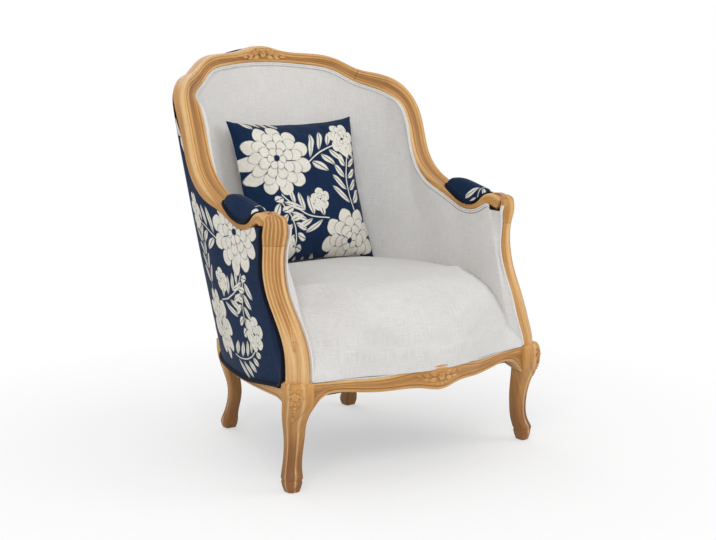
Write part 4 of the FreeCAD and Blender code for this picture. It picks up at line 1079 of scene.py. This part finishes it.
def build_pads():
    knots = np.array([RAIL_AT[name] for name, wide, tall in PAD])
    at = np.linspace(knots[0] - 3, knots[-1] + 2, 60)
    sizes = np.array([(wide, tall) for name, wide, tall in PAD], float)
    rows = spline(knots, sizes, np.clip(at, knots[0], knots[-1]))
    end = np.minimum((at - at[0]) / 22, (at[-1] - at) / 16).clip(0, 1)
    end = np.sqrt(1 - (1 - end) ** 2)
    centre, normal, across = rail(at)[:3]
    turn = np.linspace(0, np.pi, 33)
    half = (22 * rows[:, 0] + 1.8) * (0.35 + 0.65 * end)
    tall = (50 * rows[:, 1] + 1.8) * end
    side = -np.sign(np.cos(turn)) * np.abs(np.cos(turn)) ** 0.72
    lift = np.sin(turn) ** 0.8
    grid = centre[:, None, :] + across[:, None, :] * (half[:, None] * side[None, :])[:, :, None]
    grid = grid + np.array([0, 0, 1]) * (tall[:, None] * lift[None, :] + 0.2)[:, :, None]
    around = lengths(grid)
    around = around - around[:, -1:] / 2
    length = np.broadcast_to(at[:, None] - at[0], around.shape)
    cloth = np.stack([around * MM + 0.235, length * MM + 0.40, 0 * around], 2)
    parts = Parts()
    parts.add(grid, flip=True, cloth=cloth)
    nodes = ["arm_pad_cover", "arm_pad_foam"]
    for piece in pair(parts, "arm_pad_print", PRINT, nodes, slot="printed_cotton"):
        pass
    parts = Parts()
    rim = np.vstack([grid[:, 0], grid[::-1, -1]])
    middle = np.vstack([centre, centre[::-1]])
    away = rim - middle
    rim = rim + unit(away) * 3.0 + np.vstack([normal, normal[::-1]]) * 3.4
    rim = np.vstack([rim, rim[:1]])
    keep = np.concatenate([[True], np.linalg.norm(np.diff(rim, axis=0), axis=1) > 0.4])
    add_cord(parts, rim[keep], PAD_CORD, [0.0, 0.0, 1.0])
    pair(parts, "arm_pad_cord", NAVY, ["arm_pad_piping"], slot="navy_piping")


# Soft pieces shaped by pressure

def puff(piece, pressure, cap, held, frames=20, stiff=15.0):
    """Blows the piece up with the cloth solver, no point moving further than cap, and applies it."""
    mesh = piece.data
    before = np.empty(len(mesh.vertices) * 3)
    mesh.vertices.foreach_get("co", before)
    before = before.reshape(-1, 3)
    group = piece.vertex_groups.new(name="held")
    for weight in np.unique(held):
        group.add(np.nonzero(held == weight)[0].tolist(), float(weight), "REPLACE")
    modifier = piece.modifiers.new("puff", "CLOTH")
    settings = modifier.settings
    settings.quality = 6
    settings.mass = 0.25
    settings.use_pressure = True
    settings.uniform_pressure_force = pressure
    settings.effector_weights.gravity = 0
    settings.vertex_group_mass = "held"
    for name in ("tension_stiffness", "compression_stiffness", "shear_stiffness"):
        setattr(settings, name, stiff)
    settings.bending_stiffness = 0.4
    modifier.collision_settings.use_collision = False
    modifier.point_cache.frame_start = 1
    modifier.point_cache.frame_end = frames
    scene = bpy.context.scene
    for number in range(1, frames + 1):
        scene.frame_set(number)
    shaped = piece.evaluated_get(bpy.context.evaluated_depsgraph_get()).to_mesh()
    after = np.empty(len(shaped.vertices) * 3)
    shaped.vertices.foreach_get("co", after)
    after = after.reshape(-1, 3)
    piece.modifiers.remove(modifier)
    piece.vertex_groups.remove(group)
    scene.frame_set(1)
    move = after - before
    far = np.linalg.norm(move, axis=1, keepdims=True)
    move = move * np.minimum(1, cap * MM / np.maximum(far, 1e-9))
    mesh.vertices.foreach_set("co", (before + move).ravel())
    mesh.update()
    return before + move


def ring_of_seat(count):
    ring = np.vstack([SEAT, SEAT[-2:0:-1] * MIRROR[:2]])
    loop = np.vstack([ring, ring, ring, ring[:1]])
    knots = chords(loop)
    start, end = knots[len(ring)], knots[2 * len(ring)]
    return spline(knots, loop, np.linspace(start, end, count, endpoint=False))


def relaxed(grid, rounds, first):
    """Evens out the creases of a grid of closed rings, apart from its first rings."""
    for number in range(rounds):
        over = grid.copy()
        over[1:-1] = (grid[2:] + grid[:-2]) / 2
        target = (np.roll(grid, 1, 1) + np.roll(grid, -1, 1)) / 4 + over / 2
        shift = 0.6 * (target - grid)
        shift[:first] = 0
        shift[-1] = 0
        grid = grid + shift
    return grid


def build_seat():
    count = 240
    plan = ring_of_seat(count)
    middle = np.array([0.0, (SEAT[0, 1] + SEAT[-1, 1]) / 2])
    grow = 2.6
    wide = 1 + grow / 290
    levels = [(wide, z) for z in np.linspace(SEAT_BASE, SEAT_SHOULDER + grow, 22)]
    for angle in np.radians(np.linspace(4, 90, 30)):
        share = SEAT_CORE + (1 - SEAT_CORE) * math.cos(angle)
        levels.append((share * wide, SEAT_SHOULDER + grow + (SEAT_CROWN - SEAT_SHOULDER) * math.sin(angle)))
    for share in np.linspace(SEAT_CORE, 0.06, 15)[1:]:
        levels.append((share * wide, SEAT_CROWN + grow + 1.5 * (1 - share / SEAT_CORE)))
    level = np.array([rise for share, rise in levels])[:, None]
    rings = [middle + (plan - middle) * share for share, rise in levels]
    grid = np.concatenate([rings, np.broadcast_to(level[:, :, None], (len(levels), count, 1))], 2)
    bulge = 2.2 * np.sin(np.pi * np.clip((level - SEAT_BASE) / (SEAT_SHOULDER - SEAT_BASE), 0, 1)) ** 1.2
    out = unit(plan - middle)[None, :, :]
    front = np.clip(-out[:, :, 1:2], 0, 1)
    grid[:, :, :2] += out * bulge[:, :, None] * front
    corner = smooth_step(np.abs(grid[:, :, 0]), 170, 305)
    back, low, deep, tall = [a + (b - a) * corner for a, b in zip(*FRONT_ROUND)]
    rise = np.clip((grid[:, :, 2] - low) / (tall + grow), 0, 1)
    limit = back - (deep + grow) * np.sqrt(1 - rise ** 2)
    pull = smooth_step(grid[:, :, 2], 262, 318)
    grid[:, :, 1] += (np.maximum(grid[:, :, 1], limit) - grid[:, :, 1]) * pull
    half = 301 + 24 * (1 - smooth_step(grid[:, :, 2], 288, 335))
    grid[:, :, 0] = np.clip(grid[:, :, 0], -half, half)
    grid = relaxed(grid, 40, 9)
    parts = Parts()
    parts.add(grid, closed=True, flip=True)
    last = parts.count - count
    parts.faces.append(tuple(last + c for c in range(count))[::-1])
    piece = parts.make("seat_linen", LINEN, slot="linen", replaces=["seat_cover", "seat_foam", "seat_hessian"])
    held = np.repeat(np.concatenate([np.ones(8), np.zeros(len(levels) - 8)]), count)
    puff(piece, 3.0, 4.0, held, 12, 25.0)


def build_pillow():
    steps = 56
    side, pull, thick = 198.0, 13.0, 58.0
    line = np.linspace(-1, 1, steps)
    u, v = np.meshgrid(line, line, indexing="ij")
    x = u * (side - pull * (1 - v ** 2)) * (1 + 0.015 * np.abs(u * v) ** 3)
    y = v * (side - pull * (1 - u ** 2)) * (1 + 0.015 * np.abs(u * v) ** 3)
    crown = (np.clip(1 - u ** 2, 0, 1) * np.clip(1 - v ** 2, 0, 1)) ** 0.42
    swell = thick * crown * (1 + 0.03 * wobble(u * 3, v * 4))
    edge = (np.abs(u) == 1) | (np.abs(v) == 1)
    turn = PILLOW_TURN
    spin = np.array([[1, 0, 0], [0, math.cos(turn), -math.sin(turn)], [0, math.sin(turn), math.cos(turn)]])
    index = np.arange(steps * steps).reshape(steps, steps)
    front = np.stack([x, y, swell], 2).reshape(-1, 3)
    rear = np.stack([x, y, -swell], 2).reshape(-1, 3)
    inner = np.nonzero(~edge.ravel())[0]
    back_index = index.ravel().copy()
    back_index[inner] = steps * steps + np.arange(len(inner))
    points = np.vstack([front, rear[inner]])
    back_index = back_index.reshape(steps, steps)
    ahead = quads(index)[:, [0, 3, 2, 1]]
    behind = quads(back_index)
    faces = ahead.tolist() + behind.tolist()
    placed = points @ spin.T + PILLOW_AT
    whole = make("pillow_shape", placed, faces, PILLOW_PRINT, body=PILLOW)
    held = np.zeros(len(points))
    held[edge.ravel().nonzero()[0]] = 0.25
    shaped = puff(whole, 4.0, 9.0, held, 16, 12.0) / MM
    limit = np.array([200.0, 200.0, 63.5])
    local = np.clip((shaped - PILLOW_AT) @ spin, -limit, limit)
    shaped = local @ spin.T + PILLOW_AT
    bpy.data.objects.remove(whole)
    cloth = points * MM * np.array([1, 1, 0]) + np.array([0.21, 0.25, 0])
    pieces = {"pillow_print": (ahead, PILLOW_PRINT, "printed_cotton", ["pillow_front", "pillow_filling"]),
              "pillow_linen": (behind, LINEN, "linen", ["pillow_back"])}
    for name, (some, material, slot, nodes) in pieces.items():
        used = np.unique(some)
        own = np.searchsorted(used, some).tolist()
        piece = make(name, shaped[used], own, material, body=PILLOW, slot=slot, replaces=nodes,
                     attributes={"cloth": cloth[used]})
        smooth = piece.modifiers.new("smooth", "SUBSURF")
        smooth.levels = smooth.render_levels = 1


def build_stiles():
    """The back stiles, with their heads drawn in behind the crest."""
    for side in ("left", "right"):
        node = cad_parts["back_stile_" + side]
        points = np.array([node.matrix_world @ vertex.co for vertex in node.data.vertices]) / MM
        head = smooth_step(points[:, 2], points[:, 2].max() - 120, points[:, 2].max() - 20)[:, None]
        inward = -unit(points[:, :2])
        points[:, :2] += inward * 9 * head
        points[:, 2:] -= 10 * head
        faces = [tuple(face.vertices) for face in node.data.polygons]
        make("stile_board_" + side, points, faces, BEECH, replaces=[node.name], smooth=False)


NODE_FINISH = {
    "rear_rail": OAK_PLAIN, "seat_springs": STEEL, "spring_clips": STEEL, "corner_block_screws": STEEL,
    "foot_glides": NICKEL, "back_hessian": JUTE, "back_webbing_upright": JUTE, "dust_cover": BLACK}


def dress_nodes():
    """Materials for the CAD nodes that stay as they are."""
    for name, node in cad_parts.items():
        if not node.hide_render:
            node.data.materials.clear()
            node.data.materials.append(NODE_FINISH.get(name, BEECH))


# Stage, camera and light

def build_stage():
    tree = Tree("pale_floor")
    tree.finish((0.9, 0.9, 0.9, 1.0), Roughness=0.9, Specular_IOR_Level=0.0)
    bright = tree.node("ShaderNodeEmission", {"Color": (1, 1, 1, 1), "Strength": 1.0}).outputs[0]
    share = tree.times(tree.seen(), tree.range(tree.length(tree.position()), 0.35, 1.3, 0.45, 1.0))
    mixed = tree.node("ShaderNodeMixShader", {0: share, 1: tree.shader.outputs[0], 2: bright}).outputs[0]
    tree.tree.links.new(mixed, tree.output.inputs["Surface"])
    mesh = bpy.data.meshes.new("floor")
    mesh.from_pydata([(-9, -9, -0.001), (9, -9, -0.001), (9, 9, -0.001), (-9, 9, -0.001)], [], [(0, 1, 2, 3)])
    mesh.materials.append(tree.material)
    linked("floor", mesh)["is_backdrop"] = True


def build_world():
    world = bpy.data.worlds.new("studio")
    bpy.context.scene.world = world
    world.use_nodes = True
    world.node_tree.nodes.clear()
    tree = Tree(tree=world.node_tree)
    strength = tree.range(tree.seen(), 0.0, 1.0, 0.62, 1.0)
    back = tree.node("ShaderNodeBackground", {"Color": (1, 1, 1, 1), "Strength": strength})
    output = tree.node("ShaderNodeOutputWorld")
    tree.tree.links.new(back.outputs[0], output.inputs[0])


def area_lamp(name, place, target, size, power):
    lamp = bpy.data.lights.new(name, "AREA")
    lamp.shape = "RECTANGLE"
    lamp.size, lamp.size_y = size
    lamp.energy = power
    holder = linked(name, lamp)
    holder.location = place
    holder.rotation_euler = (Vector(target) - Vector(place)).to_track_quat("-Z", "Y").to_euler()


def build_camera():
    camera = bpy.data.cameras.new("photo_view")
    camera.sensor_width = 36.0
    camera.sensor_fit = "HORIZONTAL"
    camera.lens = 68.0
    camera.clip_end = 60.0
    holder = linked("photo_view", camera)
    holder.location = (-1.9838, -2.7730, 0.9964)
    holder.rotation_euler = (math.radians(90 - 9.35), 0.0, math.radians(-36.32))
    bpy.context.scene.camera = holder


build_wood()
build_apron()
build_side_rails()
build_carving()
build_inside()
SHEET_FLAT = build_outside()
build_welts()
build_piping()
build_pads()
build_seat()
build_pillow()
build_stiles()
dress_nodes()
build_stage()
build_world()
area_lamp("key", (-2.2, -2.6, 2.8), (0, 0, 0.5), (2.2, 1.6), 62)
area_lamp("fill", (2.6, -2.0, 1.8), (0, 0, 0.5), (2.0, 1.6), 26)
area_lamp("back", (0.4, 2.8, 2.4), (0, 0, 0.6), (2.4, 1.4), 22)
build_camera()
bpy.context.scene.view_settings.view_transform = "Standard"

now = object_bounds()
({"cad": [list(corner) for corner in CAD_BOX], "visual": [list(corner) for corner in now],
           "sheet": [list(SHEET_FLAT[0]), SHEET_FLAT[1]]})
